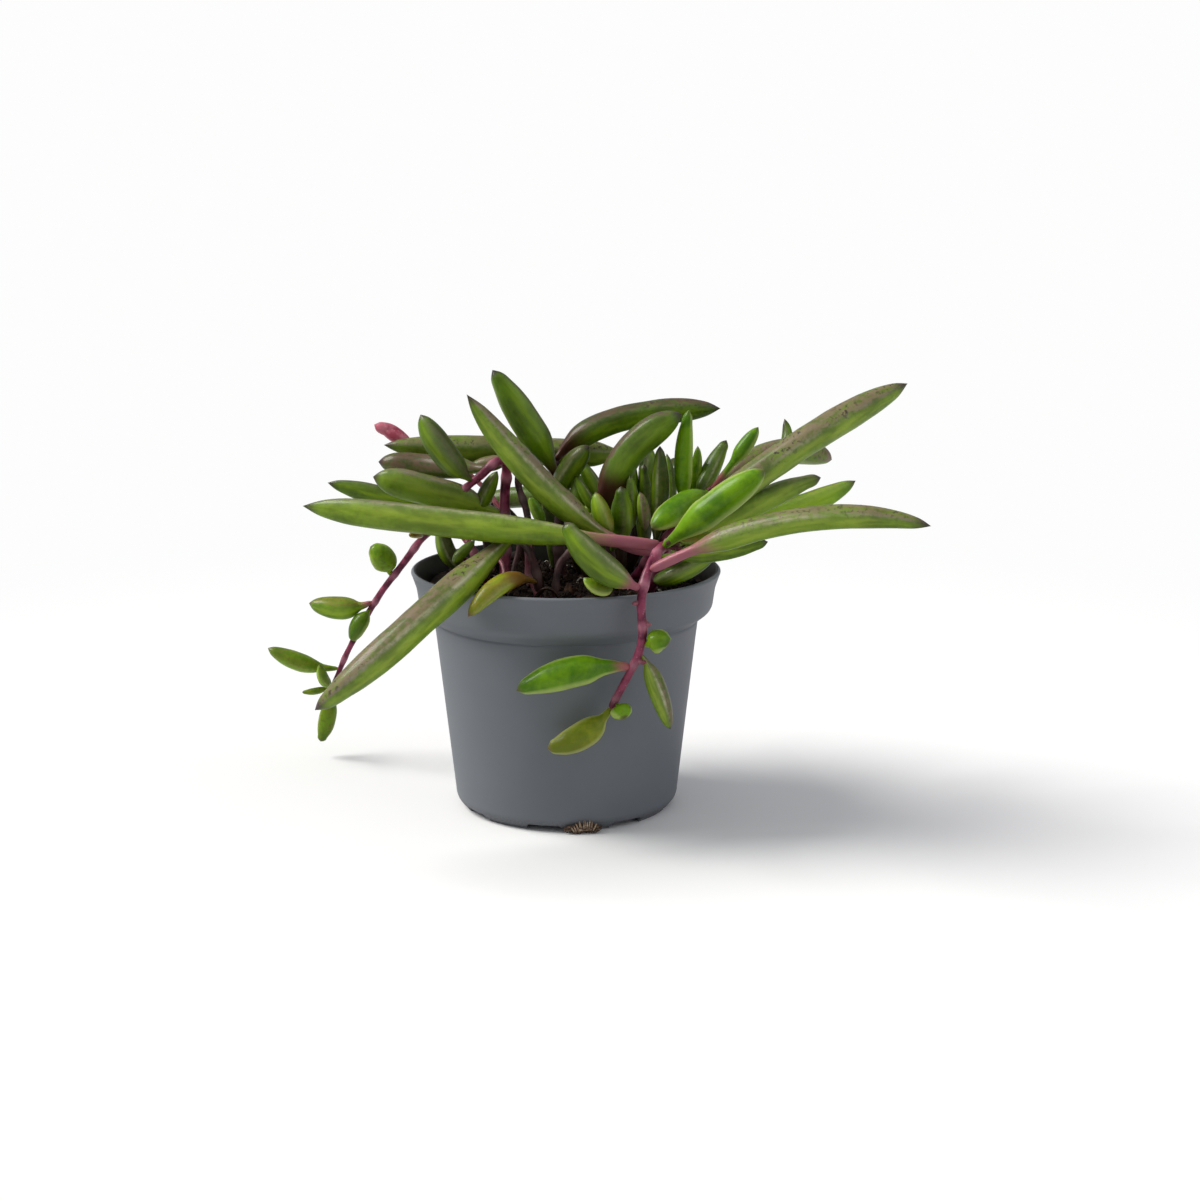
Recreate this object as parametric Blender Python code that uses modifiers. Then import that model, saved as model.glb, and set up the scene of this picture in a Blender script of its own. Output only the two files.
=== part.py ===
"""A trailing succulent in a small moulded nursery pot, in metres with +Z up.

The pot's axis is the Z axis and the pot stands on z = 0, with its front towards -Y.
Lengths in this file are millimetres until they reach a mesh or a curve.
"""

import math

import bmesh
import bpy
from mathutils import Vector

MM = 0.001
GAP = 0.3

# The pot, from its lip down to its foot.
POT_HEIGHT = 47.0
LIP_RADIUS = 30.0
LIP_ROUND = 0.5
COLLAR_RADIUS = 28.5
COLLAR_FLARE = 0.5
COLLAR_TOP = 43.6
COLLAR_BOTTOM = 40.0
SHOULDER_ROUND = 0.9
SHOULDER_BOTTOM = 37.3
BODY_TOP_RADIUS = 25.7
BODY_BOTTOM_RADIUS = 21.9
CORNER_ROUND = 3.0
CORNER_SWEEP = 62.0
WALL = 1.0
FOOT_WIDTH = 1.5
FOOT_HEIGHT = 1.4
FLOOR = FOOT_HEIGHT + WALL
FLOOR_RADIUS = 17.8
FLOOR_ROUND = 2.0
POT_STEPS = 36

NOTCH_COUNT = 8
NOTCH_WIDTH = 6.6
NOTCH_HEIGHT = 1.3
NOTCH_TURN = -11.0
DRAIN_COUNT = 4
DRAIN_RADIUS = 2.4
DRAIN_CIRCLE = 11.0

# The soil fills the pot to a few millimetres below its lip.
SOIL_TOP = 43.2
SOIL_CROWN = 0.5
SOIL_EDGE_DROP = 0.6
SOIL_CLEARANCE = GAP + 0.1
SOIL_STEPS = 28

# The root ends show beside one of the notches, at the front of the foot.
ROOT_SIZE = Vector((3.6, 0.6, 1.5))
ROOT_CURL = 0.35
ROOT_TURN = 9.0

STEM_SPACING = 2.6
STEM_END = 0.35
STEM_TAPER = 0.4
STEM_SIDES = 8
LEAF_RINGS = 10
LEAF_SIDES = 8
BROAD_LEAF = 4.5
BROAD_LEAF_SIDES = 10
STALK_SHARE = 0.22
STALK_FLARE = 6.0
# A blade reaches its full width by this share of its length, or in this run if that is sooner,
# and it tapers from the last share.
BLADE_FULL = 0.38
BLADE_RUN = 7.0
BLADE_TAPER = 0.45
BUD_STALK_RADIUS = 0.5

PLASTIC_GREY = (0.155, 0.170, 0.185, 1.0)
SOIL_BROWN = (0.035, 0.022, 0.015, 1.0)
ROOT_TAN = (0.300, 0.190, 0.100, 1.0)
STEM_MAGENTA = (0.300, 0.045, 0.110, 1.0)
BUD_PINK = (0.620, 0.160, 0.240, 1.0)
DEEP_GREEN = (0.090, 0.180, 0.030, 1.0)
BRIGHT_GREEN = (0.210, 0.400, 0.040, 1.0)
OLIVE_PURPLE = (0.150, 0.160, 0.070, 1.0)

# Each stem: its radius at the soil, and the points that it grows through.
STEMS = {
    "front_stem": (1.10, (
        (16.0, -8.0, 43.9), (18.0, -14.0, 50.0), (18.5, -19.0, 54.5), (17.0, -23.5, 54.0),
        (15.0, -27.5, 51.0), (14.0, -30.0, 46.0), (14.3, -30.0, 41.0), (13.5, -29.5, 36.5),
        (11.0, -28.5, 31.0), (8.5, -28.0, 26.0))),
    "trailing_stem": (0.85, (
        (-16.0, 6.0, 43.9), (-20.0, 12.0, 50.0), (-24.0, 18.0, 52.0), (-29.0, 22.0, 49.5),
        (-34.1, 24.0, 43.0), (-39.0, 25.5, 36.5), (-43.0, 27.0, 30.0), (-46.5, 28.0, 23.5),
        (-49.0, 28.5, 18.0), (-50.5, 28.5, 14.5))),
    "arching_stem": (1.15, (
        (-12.0, 2.0, 43.9), (-12.0, 4.0, 52.0), (-12.0, 3.5, 60.0), (-11.5, 2.0, 66.0),
        (-13.0, -0.5, 67.8), (-16.0, -3.0, 65.5), (-19.5, -5.0, 62.8))),
    "centre_stem": (1.20, (
        (-1.0, 4.0, 43.9), (-1.5, 5.0, 52.0), (-1.0, 6.5, 60.0), (-2.0, 7.5, 67.0))),
    "middle_stem": (1.20, (
        (8.0, -2.0, 43.9), (8.5, -3.5, 50.0), (8.0, -3.0, 57.0))),
    "rear_stem": (1.00, (
        (8.0, 9.0, 43.9), (10.0, 12.0, 52.0), (11.5, 14.0, 60.0), (12.5, 15.0, 67.0))),
    "right_stem": (1.10, (
        (13.0, 2.0, 43.9), (17.0, -2.0, 50.0), (21.0, -5.0, 55.5), (24.5, -6.5, 60.0),
        (28.0, -7.0, 63.5), (30.5, -5.0, 65.0))),
    "fore_stem": (0.90, (
        (-5.0, -18.0, 43.9), (-4.8, -19.5, 47.5), (-5.5, -18.5, 51.0), (-7.5, -15.5, 54.5),
        (-9.5, -13.5, 56.0))),
    "back_stem": (1.10, (
        (2.0, 14.0, 43.9), (3.0, 19.0, 50.0), (3.0, 24.0, 54.0), (1.0, 28.5, 55.0))),
}

# Each leaf: its stem, how far along that stem it grows, the point that its curve bends
# towards, its tip, its width, and how much of its length is stalk.
LEAVES = {
    "tall_rear_leaf": ("centre_stem", 0.86, (-6.3, 3.0, 73.4), (-14.0, 2.0, 85.0), 6.0, 0.12),
    "tall_front_leaf": ("front_stem", 0.17, (3.2, -14.0, 53.4), (-17.9, -14.0, 82.0), 5.4, 0.30),
    "long_left_leaf": ("front_stem", 0.24, (-6.0, -24.9, 58.3), (-49.3, -10.0, 60.6), 5.8, 0.26),
    "rim_leaf": ("front_stem", 0.50, (4.0, -32.0, 54.0), (0.5, -30.0, 61.0), 5.6, 0.05),
    "rear_left_leaf": ("rear_stem", 1.00, (-12.0, 12.0, 68.5), (-36.0, 10.0, 69.5), 5.7, 0.05),
    "rear_right_leaf": ("centre_stem", 1.00, (5.0, 11.0, 77.0), (30.3, 11.0, 76.6), 5.3, 0.05),
    "inner_leaf": ("centre_stem", 0.68, (-1.5, 0.5, 65.0), (4.5, -2.5, 71.0), 4.6, 0.05),
    "hooked_leaf": ("middle_stem", 1.00, (8.0, -4.0, 71.0), (22.0, -6.0, 77.5), 6.3, 0.05),
    "short_dark_leaf": ("middle_stem", 0.60, (11.0, -10.0, 57.0), (10.5, -11.0, 64.5), 4.8, 0.05),
    "upright_grey_leaf": ("right_stem", 0.26, (18.6, -6.4, 60.0), (17.9, -6.4, 71.5), 3.9, 0.05),
    "upright_bright_leaf": ("right_stem", 0.54, (21.8, -4.0, 68.0), (23.4, -4.0, 78.0), 3.5, 0.05),
    "upright_short_leaf": ("right_stem", 0.66, (27.0, 1.0, 65.0), (31.0, 2.0, 71.5), 3.9, 0.05),
    "upright_pale_leaf": ("right_stem", 0.14, (15.5, 2.0, 60.0), (15.0, 1.0, 67.0), 3.4, 0.05),
    "yellow_leaf": ("right_stem", 0.80, (31.2, -11.0, 68.3), (36.2, -9.0, 75.4), 2.9, 0.40),
    "crown_bright_leaf": ("front_stem", 0.29, (26.8, -26.0, 63.0), (36.2, -26.0, 69.7), 5.2, 0.14),
    "crown_folded_leaf": ("right_stem", 0.74, (22.5, -15.0, 62.2), (16.0, -20.0, 58.0), 4.9, 0.05),
    "upper_right_leaf": ("front_stem", 0.21, (41.0, -16.0, 74.0), (63.5, -11.0, 83.7), 5.7, 0.12),
    "lower_right_leaf": ("front_stem", 0.42, (42.0, -37.0, 67.6), (63.5, -42.0, 62.3), 5.0, 0.18),
    "rear_drooping_leaf": ("right_stem", 1.00, (42.0, 6.5, 72.0), (52.6, 12.0, 66.3), 5.4, 0.05),
    "rear_small_leaf": ("right_stem", 0.85, (46.5, 14.0, 62.0), (43.4, 16.0, 74.0), 3.2, 0.45),
    "side_dark_leaf": ("front_stem", 0.15, (36.0, -13.4, 63.4), (48.0, -10.0, 66.0), 5.0, 0.18),
    "side_bright_leaf": ("right_stem", 0.40, (41.0, -4.0, 56.2), (56.1, 2.0, 63.6), 4.8, 0.10),
    "low_side_leaf": ("front_stem", 0.34, (28.0, -23.0, 54.0), (37.0, -25.0, 56.5), 3.8, 0.10),
    "rim_side_leaf": ("front_stem", 0.08, (17.0, -20.0, 47.5), (28.0, -17.0, 52.5), 3.7, 0.05),
    "lower_left_leaf": ("fore_stem", 1.00, (-28.0, -43.0, 42.8), (-44.0, -38.0, 28.5), 6.1, 0.14),
    "yellow_rim_leaf": ("fore_stem", 0.30, (-11.0, -27.5, 52.2), (-17.0, -31.5, 44.0), 3.8, 0.10),
    "trail_bead_upper": ("trailing_stem", 0.49, (-37.4, 23.8, 44.2), (-40.8, 24.0, 46.6), 4.9, 0.03),
    "trail_leaf_upper": ("trailing_stem", 0.60, (-45.0, 26.0, 32.5), (-54.3, 27.0, 34.0), 4.9, 0.12),
    "trail_bead_lower": ("trailing_stem", 0.62, (-43.6, 22.9, 30.6), (-45.2, 24.3, 26.6), 3.5, 0.05),
    "trail_leaf_lower": ("trailing_stem", 0.86, (-55.0, 28.0, 19.5), (-63.5, 28.5, 24.0), 4.1, 0.18),
    "trail_tip_upright": ("trailing_stem", 0.95, (-51.5, 25.0, 17.0), (-52.0, 24.0, 21.5), 2.5, 0.05),
    "trail_tip_side": ("trailing_stem", 0.98, (-53.5, 28.0, 14.5), (-56.5, 28.0, 14.5), 1.6, 0.05),
    "trail_tip_down": ("trailing_stem", 1.00, (-51.0, 28.5, 8.0), (-53.0, 28.5, 3.5), 3.4, 0.05),
    "hanging_leaf_upper": ("front_stem", 0.83, (2.0, -31.0, 35.0), (-8.5, -32.0, 30.5), 5.2, 0.15),
    "hanging_leaf_lower": ("front_stem", 1.00, (4.0, -28.5, 20.0), (-3.0, -29.5, 19.0), 4.6, 0.10),
    "hanging_bead_lower": ("front_stem", 0.97, (10.5, -29.5, 26.0), (11.0, -30.5, 25.0), 3.8, 0.03),
    "hanging_bead_upper": ("front_stem", 0.72, (17.5, -31.0, 40.0), (19.0, -31.5, 39.0), 4.2, 0.03),
    "hanging_folded_leaf": ("front_stem", 0.78, (17.0, -29.0, 32.0), (19.5, -27.5, 22.0), 3.7, 0.05),
    "left_blunt_leaf": ("arching_stem", 0.78, (-26.0, 6.9, 65.8), (-36.8, 6.9, 66.6), 4.9, 0.08),
    "left_broad_leaf": ("arching_stem", 0.27, (-24.0, 0.5, 61.8), (-37.0, -1.0, 64.8), 6.3, 0.10),
    "left_low_leaf": ("arching_stem", 0.15, (-30.0, 8.0, 58.5), (-47.0, 8.0, 62.3), 4.7, 0.35),
    "left_upright_leaf": ("arching_stem", 0.92, (-21.8, -8.0, 68.5), (-27.0, -8.0, 77.6), 5.2, 0.05),
    "inside_pot_leaf": ("trailing_stem", 0.05, (-24.0, 2.0, 45.5), (-24.3, 3.0, 56.0), 3.8, 0.05),
    "back_left_leaf": ("back_stem", 0.70, (-12.0, 28.0, 60.0), (-24.0, 35.0, 50.0), 4.6, 0.08),
    "back_long_leaf": ("back_stem", 1.00, (-4.0, 36.0, 56.0), (-8.0, 42.0, 42.0), 5.0, 0.05),
    "back_right_leaf": ("back_stem", 0.85, (12.0, 34.0, 57.0), (20.0, 40.0, 49.0), 4.8, 0.08),
    "back_side_leaf": ("back_stem", 0.55, (18.0, 22.0, 58.0), (33.0, 26.0, 52.0), 4.6, 0.08),
}

# Where along the blade the thick-ended leaves begin to narrow to their tips.
BLUNT_LEAVES = {
    "upper_right_leaf": 0.69, "side_bright_leaf": 0.62, "long_left_leaf": 0.66,
    "rear_right_leaf": 0.65, "rear_left_leaf": 0.60,
    "lower_left_leaf": 0.58, "left_broad_leaf": 0.70, "left_blunt_leaf": 0.75,
    "left_upright_leaf": 0.55, "hooked_leaf": 0.68, "inner_leaf": 0.60,
    "crown_bright_leaf": 0.58, "crown_folded_leaf": 0.58, "rear_drooping_leaf": 0.72,
    "lower_right_leaf": 0.58,
}

# The bud's stalk leaves the arching stem and passes behind the rear left leaf.
BUD_ROUTE = ((-12.5, 5.1, 57.0), (-17.0, 13.0, 61.0), (-25.0, 16.0, 67.0),
             (-33.4, 15.0, 70.3), (-38.3, 14.5, 73.0))

BRIGHT_LEAVES = ("bright", "yellow", "trail", "hanging", "folded")


def clear_scene():
    """Remove whatever the file holds."""
    for item in list(bpy.data.objects):
        bpy.data.objects.remove(item, do_unlink=True)


def new_collection(name):
    """A collection of its own, linked to the scene."""
    group = bpy.data.collections.new(name)
    bpy.context.scene.collection.children.link(group)
    return group


def new_material(name, colour, roughness):
    """A plain Principled material."""
    material = bpy.data.materials.new(name)
    material.use_nodes = True
    shader = material.node_tree.nodes["Principled BSDF"]
    shader.inputs["Base Color"].default_value = colour
    shader.inputs["Roughness"].default_value = roughness
    shader.inputs["Metallic"].default_value = 0.0
    material.diffuse_color = colour
    return material


def add_object(name, data, group, material=None):
    """An object that holds this mesh or curve, in this collection."""
    item = bpy.data.objects.new(name, data)
    group.objects.link(item)
    if material:
        data.materials.append(material)
    return item


def turned(name, profile, steps, group, material):
    """A body of revolution about Z, from a profile of (radius, height)."""
    mesh = bpy.data.meshes.new(name)
    points = [(radius * MM, 0.0, height * MM) for radius, height in profile]
    edges = [(index, index + 1) for index in range(len(points) - 1)]
    mesh.from_pydata(points, edges, [])
    item = add_object(name, mesh, group, material)
    screw = item.modifiers.new("Turn", "SCREW")
    screw.steps = steps
    screw.render_steps = steps
    screw.use_merge_vertices = True
    screw.merge_threshold = 0.00001
    screw.use_smooth_shade = True
    return item


def arc(centre, radius, start, end, steps):
    """Points of an arc in the profile plane, between two angles in degrees."""
    points = []
    for step in range(steps + 1):
        angle = math.radians(start + (end - start) * step / steps)
        points.append((centre[0] + radius * math.cos(angle),
                       centre[1] + radius * math.sin(angle)))
    return points


def body_radius(height):
    """The tapered wall's outer radius at a height under the shoulder."""
    share = (height - CORNER_ROUND) / (SHOULDER_BOTTOM - CORNER_ROUND)
    return BODY_BOTTOM_RADIUS + share * (BODY_TOP_RADIUS - BODY_BOTTOM_RADIUS)


def pot_profile():
    """The wall's outer side from the lip down, the foot, and the inner side back up."""
    lip_centre = (LIP_RADIUS - LIP_ROUND, POT_HEIGHT - LIP_ROUND)
    corner_centre = (BODY_BOTTOM_RADIUS - CORNER_ROUND, CORNER_ROUND)
    foot_outer = corner_centre[0] + CORNER_ROUND * math.cos(math.radians(CORNER_SWEEP))
    foot_inner = foot_outer - FOOT_WIDTH
    outer = arc(lip_centre, LIP_ROUND, 90, -30, 3)
    outer += [(COLLAR_RADIUS + COLLAR_FLARE, COLLAR_TOP), (COLLAR_RADIUS, COLLAR_BOTTOM),
              (COLLAR_RADIUS - COLLAR_FLARE, COLLAR_BOTTOM - SHOULDER_ROUND),
              (BODY_TOP_RADIUS, SHOULDER_BOTTOM)]
    outer += arc(corner_centre, CORNER_ROUND, 0, -CORNER_SWEEP, 3)
    outer += [(foot_outer, 0.0), (foot_inner, 0.0), (foot_inner, FOOT_HEIGHT), (0.0, FOOT_HEIGHT)]
    inner = [(0.0, FLOOR), (FLOOR_RADIUS, FLOOR),
             (body_radius(FLOOR + FLOOR_ROUND) - WALL, FLOOR + FLOOR_ROUND),
             (BODY_TOP_RADIUS - WALL, SHOULDER_BOTTOM),
             (COLLAR_RADIUS - WALL, COLLAR_BOTTOM),
             (COLLAR_RADIUS - WALL + COLLAR_FLARE, COLLAR_TOP)]
    inner += arc(lip_centre, LIP_ROUND, -210, -270, 1)
    return outer + inner


def cut(item, cutter, name):
    """Cut one object out of another with an exact Boolean."""
    cutter.hide_render = True
    cutter.display_type = "WIRE"
    boolean = item.modifiers.new(name, "BOOLEAN")
    boolean.operation = "DIFFERENCE"
    boolean.solver = "EXACT"
    boolean.object = cutter


def finished_mesh(name, build):
    """The bmesh as a mesh of this name."""
    mesh = bpy.data.meshes.new(name)
    build.to_mesh(mesh)
    build.free()
    return mesh


def cut_notch(pot, index, cutters):
    """Open the foot ring at one of its even turns."""
    name = f"notch_cutter_{index + 1}"
    build = bmesh.new()
    bmesh.ops.create_cube(build, size=1.0)
    size = Vector((NOTCH_WIDTH, 4.0 * CORNER_ROUND, 2.0 * NOTCH_HEIGHT)) * MM
    bmesh.ops.scale(build, vec=size, verts=build.verts)
    cutter = add_object(name, finished_mesh(name, build), cutters)
    turn = math.radians(NOTCH_TURN + 360.0 * index / NOTCH_COUNT)
    place = BODY_BOTTOM_RADIUS * MM
    cutter.location = (place * math.sin(turn), -place * math.cos(turn), 0.0)
    cutter.rotation_euler = (0.0, 0.0, turn)
    cut(pot, cutter, name)


def cut_drain(pot, index, cutters):
    """Drill one of the drainage holes through the floor."""
    name = f"drain_cutter_{index + 1}"
    build = bmesh.new()
    bmesh.ops.create_cone(build, cap_ends=True, segments=12, radius1=DRAIN_RADIUS * MM,
                          radius2=DRAIN_RADIUS * MM, depth=6.0 * WALL * MM)
    cutter = add_object(name, finished_mesh(name, build), cutters)
    turn = math.radians(45.0 + 360.0 * index / DRAIN_COUNT)
    place = DRAIN_CIRCLE * MM
    cutter.location = (place * math.cos(turn), place * math.sin(turn), FOOT_HEIGHT * MM)
    cut(pot, cutter, name)


def build_pot(parts, cutters):
    """The moulded pot: a turned shell, notched at its foot and drained through its floor."""
    material = new_material("moulded_plastic", PLASTIC_GREY, 0.45)
    pot = turned("pot", pot_profile(), POT_STEPS, parts, material)
    for index in range(NOTCH_COUNT):
        cut_notch(pot, index, cutters)
    for index in range(DRAIN_COUNT):
        cut_drain(pot, index, cutters)


def build_soil(parts):
    """One plug of soil, a gap clear of the pot's wall and floor, with a low crown."""
    inset = WALL + SOIL_CLEARANCE
    rim = COLLAR_RADIUS - inset
    floor = FLOOR + GAP
    corner = floor + FLOOR_ROUND + SOIL_CLEARANCE
    profile = [(0.0, SOIL_TOP + SOIL_CROWN), (0.5 * rim, SOIL_TOP + 0.7 * SOIL_CROWN),
               (0.93 * rim, SOIL_TOP), (rim, SOIL_TOP - SOIL_EDGE_DROP),
               (rim, COLLAR_BOTTOM + SOIL_CLEARANCE),
               (BODY_TOP_RADIUS - inset, SHOULDER_BOTTOM + SOIL_CLEARANCE),
               (body_radius(corner) - inset, corner),
               (FLOOR_RADIUS - SOIL_CLEARANCE, floor), (0.0, floor)]
    material = new_material("potting_soil", SOIL_BROWN, 0.95)
    turned("soil", profile, SOIL_STEPS, parts, material)


def build_root_wisps(parts):
    """A low clump of root ends against the pot's rounded foot, at its front."""
    build = bmesh.new()
    bmesh.ops.create_uvsphere(build, u_segments=12, v_segments=6, radius=1.0)
    bmesh.ops.scale(build, vec=ROOT_SIZE * MM, verts=build.verts)
    for vertex in build.verts:
        side = vertex.co.x / (ROOT_SIZE.x * MM)
        vertex.co.y += ROOT_CURL * side * side * MM
    mesh = finished_mesh("root_wisps", build)
    mesh.shade_smooth()
    clump = add_object("root_wisps", mesh, parts, new_material("dry_root", ROOT_TAN, 0.8))
    turn = math.radians(ROOT_TURN)
    place = (BODY_BOTTOM_RADIUS + GAP + 0.5 * ROOT_SIZE.y) * MM
    clump.location = (place * math.sin(turn), -place * math.cos(turn), (ROOT_SIZE.z + GAP) * MM)
    clump.rotation_euler = (0.0, 0.0, turn)


def through(points, share):
    """A point on the Catmull-Rom curve through these points, at a share of its knots."""
    spans = len(points) - 1
    place = min(max(share, 0.0), 1.0) * spans
    index = min(int(place), spans - 1)
    local = place - index
    here, ahead = points[index], points[index + 1]
    before = points[index - 1] if index > 0 else here * 2.0 - ahead
    after = points[index + 2] if index + 2 <= spans else ahead * 2.0 - here
    return 0.5 * (2.0 * here + (ahead - before) * local
                  + (2.0 * before - 5.0 * here + 4.0 * ahead - after) * local ** 2
                  + (3.0 * here - before - 3.0 * ahead + after) * local ** 3)


def stem_point(name, share):
    """The stem's middle at a share of its knots, its direction there, and its radius."""
    radius, route = STEMS[name]
    points = [Vector(point) for point in route]
    step = 0.01
    ahead = through(points, min(share + step, 1.0))
    behind = through(points, max(share - step, 0.0))
    return through(points, share), (ahead - behind).normalized(), radius * (1.0 - STEM_TAPER * share)


def tapered_tube(name, points, radii, sides, group, material):
    """A tube along these points whose radius changes from point to point."""
    curve = bpy.data.curves.new(name, "CURVE")
    curve.dimensions = "3D"
    curve.bevel_depth = MM
    curve.bevel_resolution = sides // 2 - 2
    curve.use_fill_caps = True
    spline = curve.splines.new("POLY")
    spline.points.add(len(points) - 1)
    for knot, point, radius in zip(spline.points, points, radii):
        knot.co = (*(point * MM), 1.0)
        knot.radius = radius
    spline.use_smooth = True
    add_object(name, curve, group, material)


def build_stem(name, group, material):
    """A stem that thins as it grows, rounded off at both ends."""
    radius, route = STEMS[name]
    knots = [Vector(point) for point in route]
    length = sum((b - a).length for a, b in zip(knots, knots[1:]))
    count = max(4, round(length / STEM_SPACING))
    points, radii = [], []
    for step in range(count + 1):
        share = step / count
        points.append(through(knots, share))
        radii.append(radius * (1.0 - STEM_TAPER * share))
    first, last = points[0], points[-1]
    points.insert(1, first.lerp(points[1], STEM_END / STEM_SPACING))
    points.insert(-1, last.lerp(points[-2], STEM_END / STEM_SPACING))
    radii = [0.0] + [radii[0] * 0.9] + radii[1:-1] + [radii[-1] * 0.9] + [0.0]
    tapered_tube(name, points, radii, STEM_SIDES, group, material)


def leaf_outline(share, stalk, full, taper):
    """The leaf's half width at a share of its length, from 0 at its ends to 1."""
    blade = min(max(0.0, (share - stalk) / (1.0 - stalk)), 1.0)
    rise = math.sin(0.5 * math.pi * min(blade / full, 1.0)) ** 0.6
    fall = max(0.0, (blade - taper) / (1.0 - taper))
    return rise * (1.0 - fall ** 2.2) ** 0.7


def leaf_spine(name):
    """The leaf's middle line, from its seat on the stem through its bend to its tip."""
    stem, place, bend, tip = LEAVES[name][:4]
    middle, along, radius = stem_point(stem, place)
    bend, tip = Vector(bend), Vector(tip)
    heading = (bend - middle).normalized()
    if place < 1.0:
        outward = (heading - along * heading.dot(along)).normalized()
        base = middle + outward * (radius + GAP)
    else:
        base = middle + heading * GAP
    points = []
    for step in range(LEAF_RINGS + 1):
        share = 0.5 - 0.5 * math.cos(math.pi * step / LEAF_RINGS)
        share = 0.6 * share + 0.4 * step / LEAF_RINGS
        points.append(base * (1.0 - share) ** 2 + bend * (2.0 * share * (1.0 - share))
                      + tip * share ** 2)
    return points


def build_leaf(name, group, material):
    """A fleshy, spindle-shaped leaf on a short stalk."""
    width, stalk = LEAVES[name][4:]
    points = leaf_spine(name)
    length = sum((b - a).length for a, b in zip(points, points[1:]))
    full = min(BLADE_FULL, BLADE_RUN / length)
    taper = BLUNT_LEAVES.get(name, BLADE_TAPER)
    travelled = 0.0
    radii = [0.0]
    for before, here in zip(points, points[1:-1]):
        travelled += (here - before).length
        blade = 0.5 * width * leaf_outline(travelled / length, stalk, full, taper)
        flare = min(0.5 + travelled / STALK_FLARE, 1.0)
        radii.append(max(blade, STALK_SHARE * width * flare))
    radii.append(0.0)
    sides = BROAD_LEAF_SIDES if width > BROAD_LEAF else LEAF_SIDES
    tapered_tube(name, points, radii, sides, group, material)


def build_bud(group):
    """The flower bud on its long thin stalk."""
    knots = [Vector(point) for point in BUD_ROUTE]
    stalk_points = 7
    swelling = (0.6, 1.3, 1.6, 1.4, 0.0)
    count = stalk_points + len(swelling)
    points = [through(knots, step / count) for step in range(count + 1)]
    radii = [0.0] + [BUD_STALK_RADIUS] * stalk_points + list(swelling)
    material = new_material("flower_bud", BUD_PINK, 0.5)
    tapered_tube("flower_bud", points, radii, STEM_SIDES, group, material)


def leaf_material(name, materials):
    """Young and hanging leaves are bright, the broadest old ones are flushed with purple."""
    if any(word in name for word in BRIGHT_LEAVES):
        return materials["bright"]
    if LEAVES[name][4] > BROAD_LEAF:
        return materials["flushed"]
    return materials["deep"]


def main():
    clear_scene()
    parts = new_collection("potted_string_of_watermelons")
    cutters = new_collection("cutters")
    build_pot(parts, cutters)
    build_soil(parts)
    build_root_wisps(parts)
    build_bud(parts)
    stem_skin = new_material("stem_skin", STEM_MAGENTA, 0.45)
    for name in STEMS:
        build_stem(name, parts, stem_skin)
    materials = {"bright": new_material("young_leaf", BRIGHT_GREEN, 0.4),
                 "flushed": new_material("flushed_leaf", OLIVE_PURPLE, 0.4),
                 "deep": new_material("mature_leaf", DEEP_GREEN, 0.4)}
    for name in LEAVES:
        build_leaf(name, parts, leaf_material(name, materials))


main()
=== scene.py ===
import math
import random
from functools import partial

import bmesh
import bpy
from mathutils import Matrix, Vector


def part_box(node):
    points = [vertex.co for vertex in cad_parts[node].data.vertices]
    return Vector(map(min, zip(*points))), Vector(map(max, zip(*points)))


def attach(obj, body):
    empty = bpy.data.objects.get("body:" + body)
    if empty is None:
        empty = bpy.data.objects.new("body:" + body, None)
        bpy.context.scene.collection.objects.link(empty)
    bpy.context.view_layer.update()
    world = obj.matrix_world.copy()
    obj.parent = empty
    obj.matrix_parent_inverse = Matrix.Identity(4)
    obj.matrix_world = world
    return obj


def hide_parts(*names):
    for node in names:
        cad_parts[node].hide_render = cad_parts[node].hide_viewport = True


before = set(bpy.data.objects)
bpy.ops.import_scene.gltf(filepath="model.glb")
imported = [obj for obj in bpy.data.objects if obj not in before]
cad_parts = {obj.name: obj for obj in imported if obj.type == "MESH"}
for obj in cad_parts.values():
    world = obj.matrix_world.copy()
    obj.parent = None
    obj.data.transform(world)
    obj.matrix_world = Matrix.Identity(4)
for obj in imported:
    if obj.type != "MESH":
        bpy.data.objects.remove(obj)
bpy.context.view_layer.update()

scene = bpy.context.scene
mm = 0.001  # the sizes in settings and tables are in millimetres
axisUp = Vector((0, 0, 1))

# Short names: the kinds of arithmetic, each a node and its operation, then the other kinds of
# node used most, and the setting of a soft step.
times, plus, timesPlus, minus, over, larger, power = (
    "ShaderNodeMath " + operation for operation in
    ("MULTIPLY", "ADD", "MULTIPLY_ADD", "SUBTRACT", "DIVIDE", "MAXIMUM", "POWER"))
sine, cosine, unsigned, exponent, pingPong, above, below = (
    "ShaderNodeMath " + operation for operation in
    ("SINE", "COSINE", "ABSOLUTE", "EXPONENT", "PINGPONG", "GREATER_THAN", "LESS_THAN"))
scaled, summed, cross, dot, unit, lengthOf = (
    "ShaderNodeVectorMath " + operation for operation in
    ("SCALE", "ADD", "CROSS_PRODUCT", "DOT_PRODUCT", "NORMALIZE", "LENGTH"))
split, join, mapRange, mix = ("ShaderNodeSeparateXYZ", "ShaderNodeCombineXYZ",
                              "ShaderNodeMapRange", "ShaderNodeMix")
noise, cells, told, bumps = ("ShaderNodeTexNoise", "ShaderNodeTexVoronoi",
                             "ShaderNodeAttribute", "ShaderNodeBump")
position, store = "GeometryNodeInputPosition", "GeometryNodeStoreNamedAttribute"
softly = {"interpolation_type": "SMOOTHSTEP"}


def linear(hexColour):
    channels = [int(hexColour[start:start + 2], 16) / 255 for start in (1, 3, 5)]
    return tuple(c / 12.92 if c <= 0.04045 else ((c + 0.055) / 1.055) ** 2.4
                 for c in channels) + (1.0,)


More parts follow.
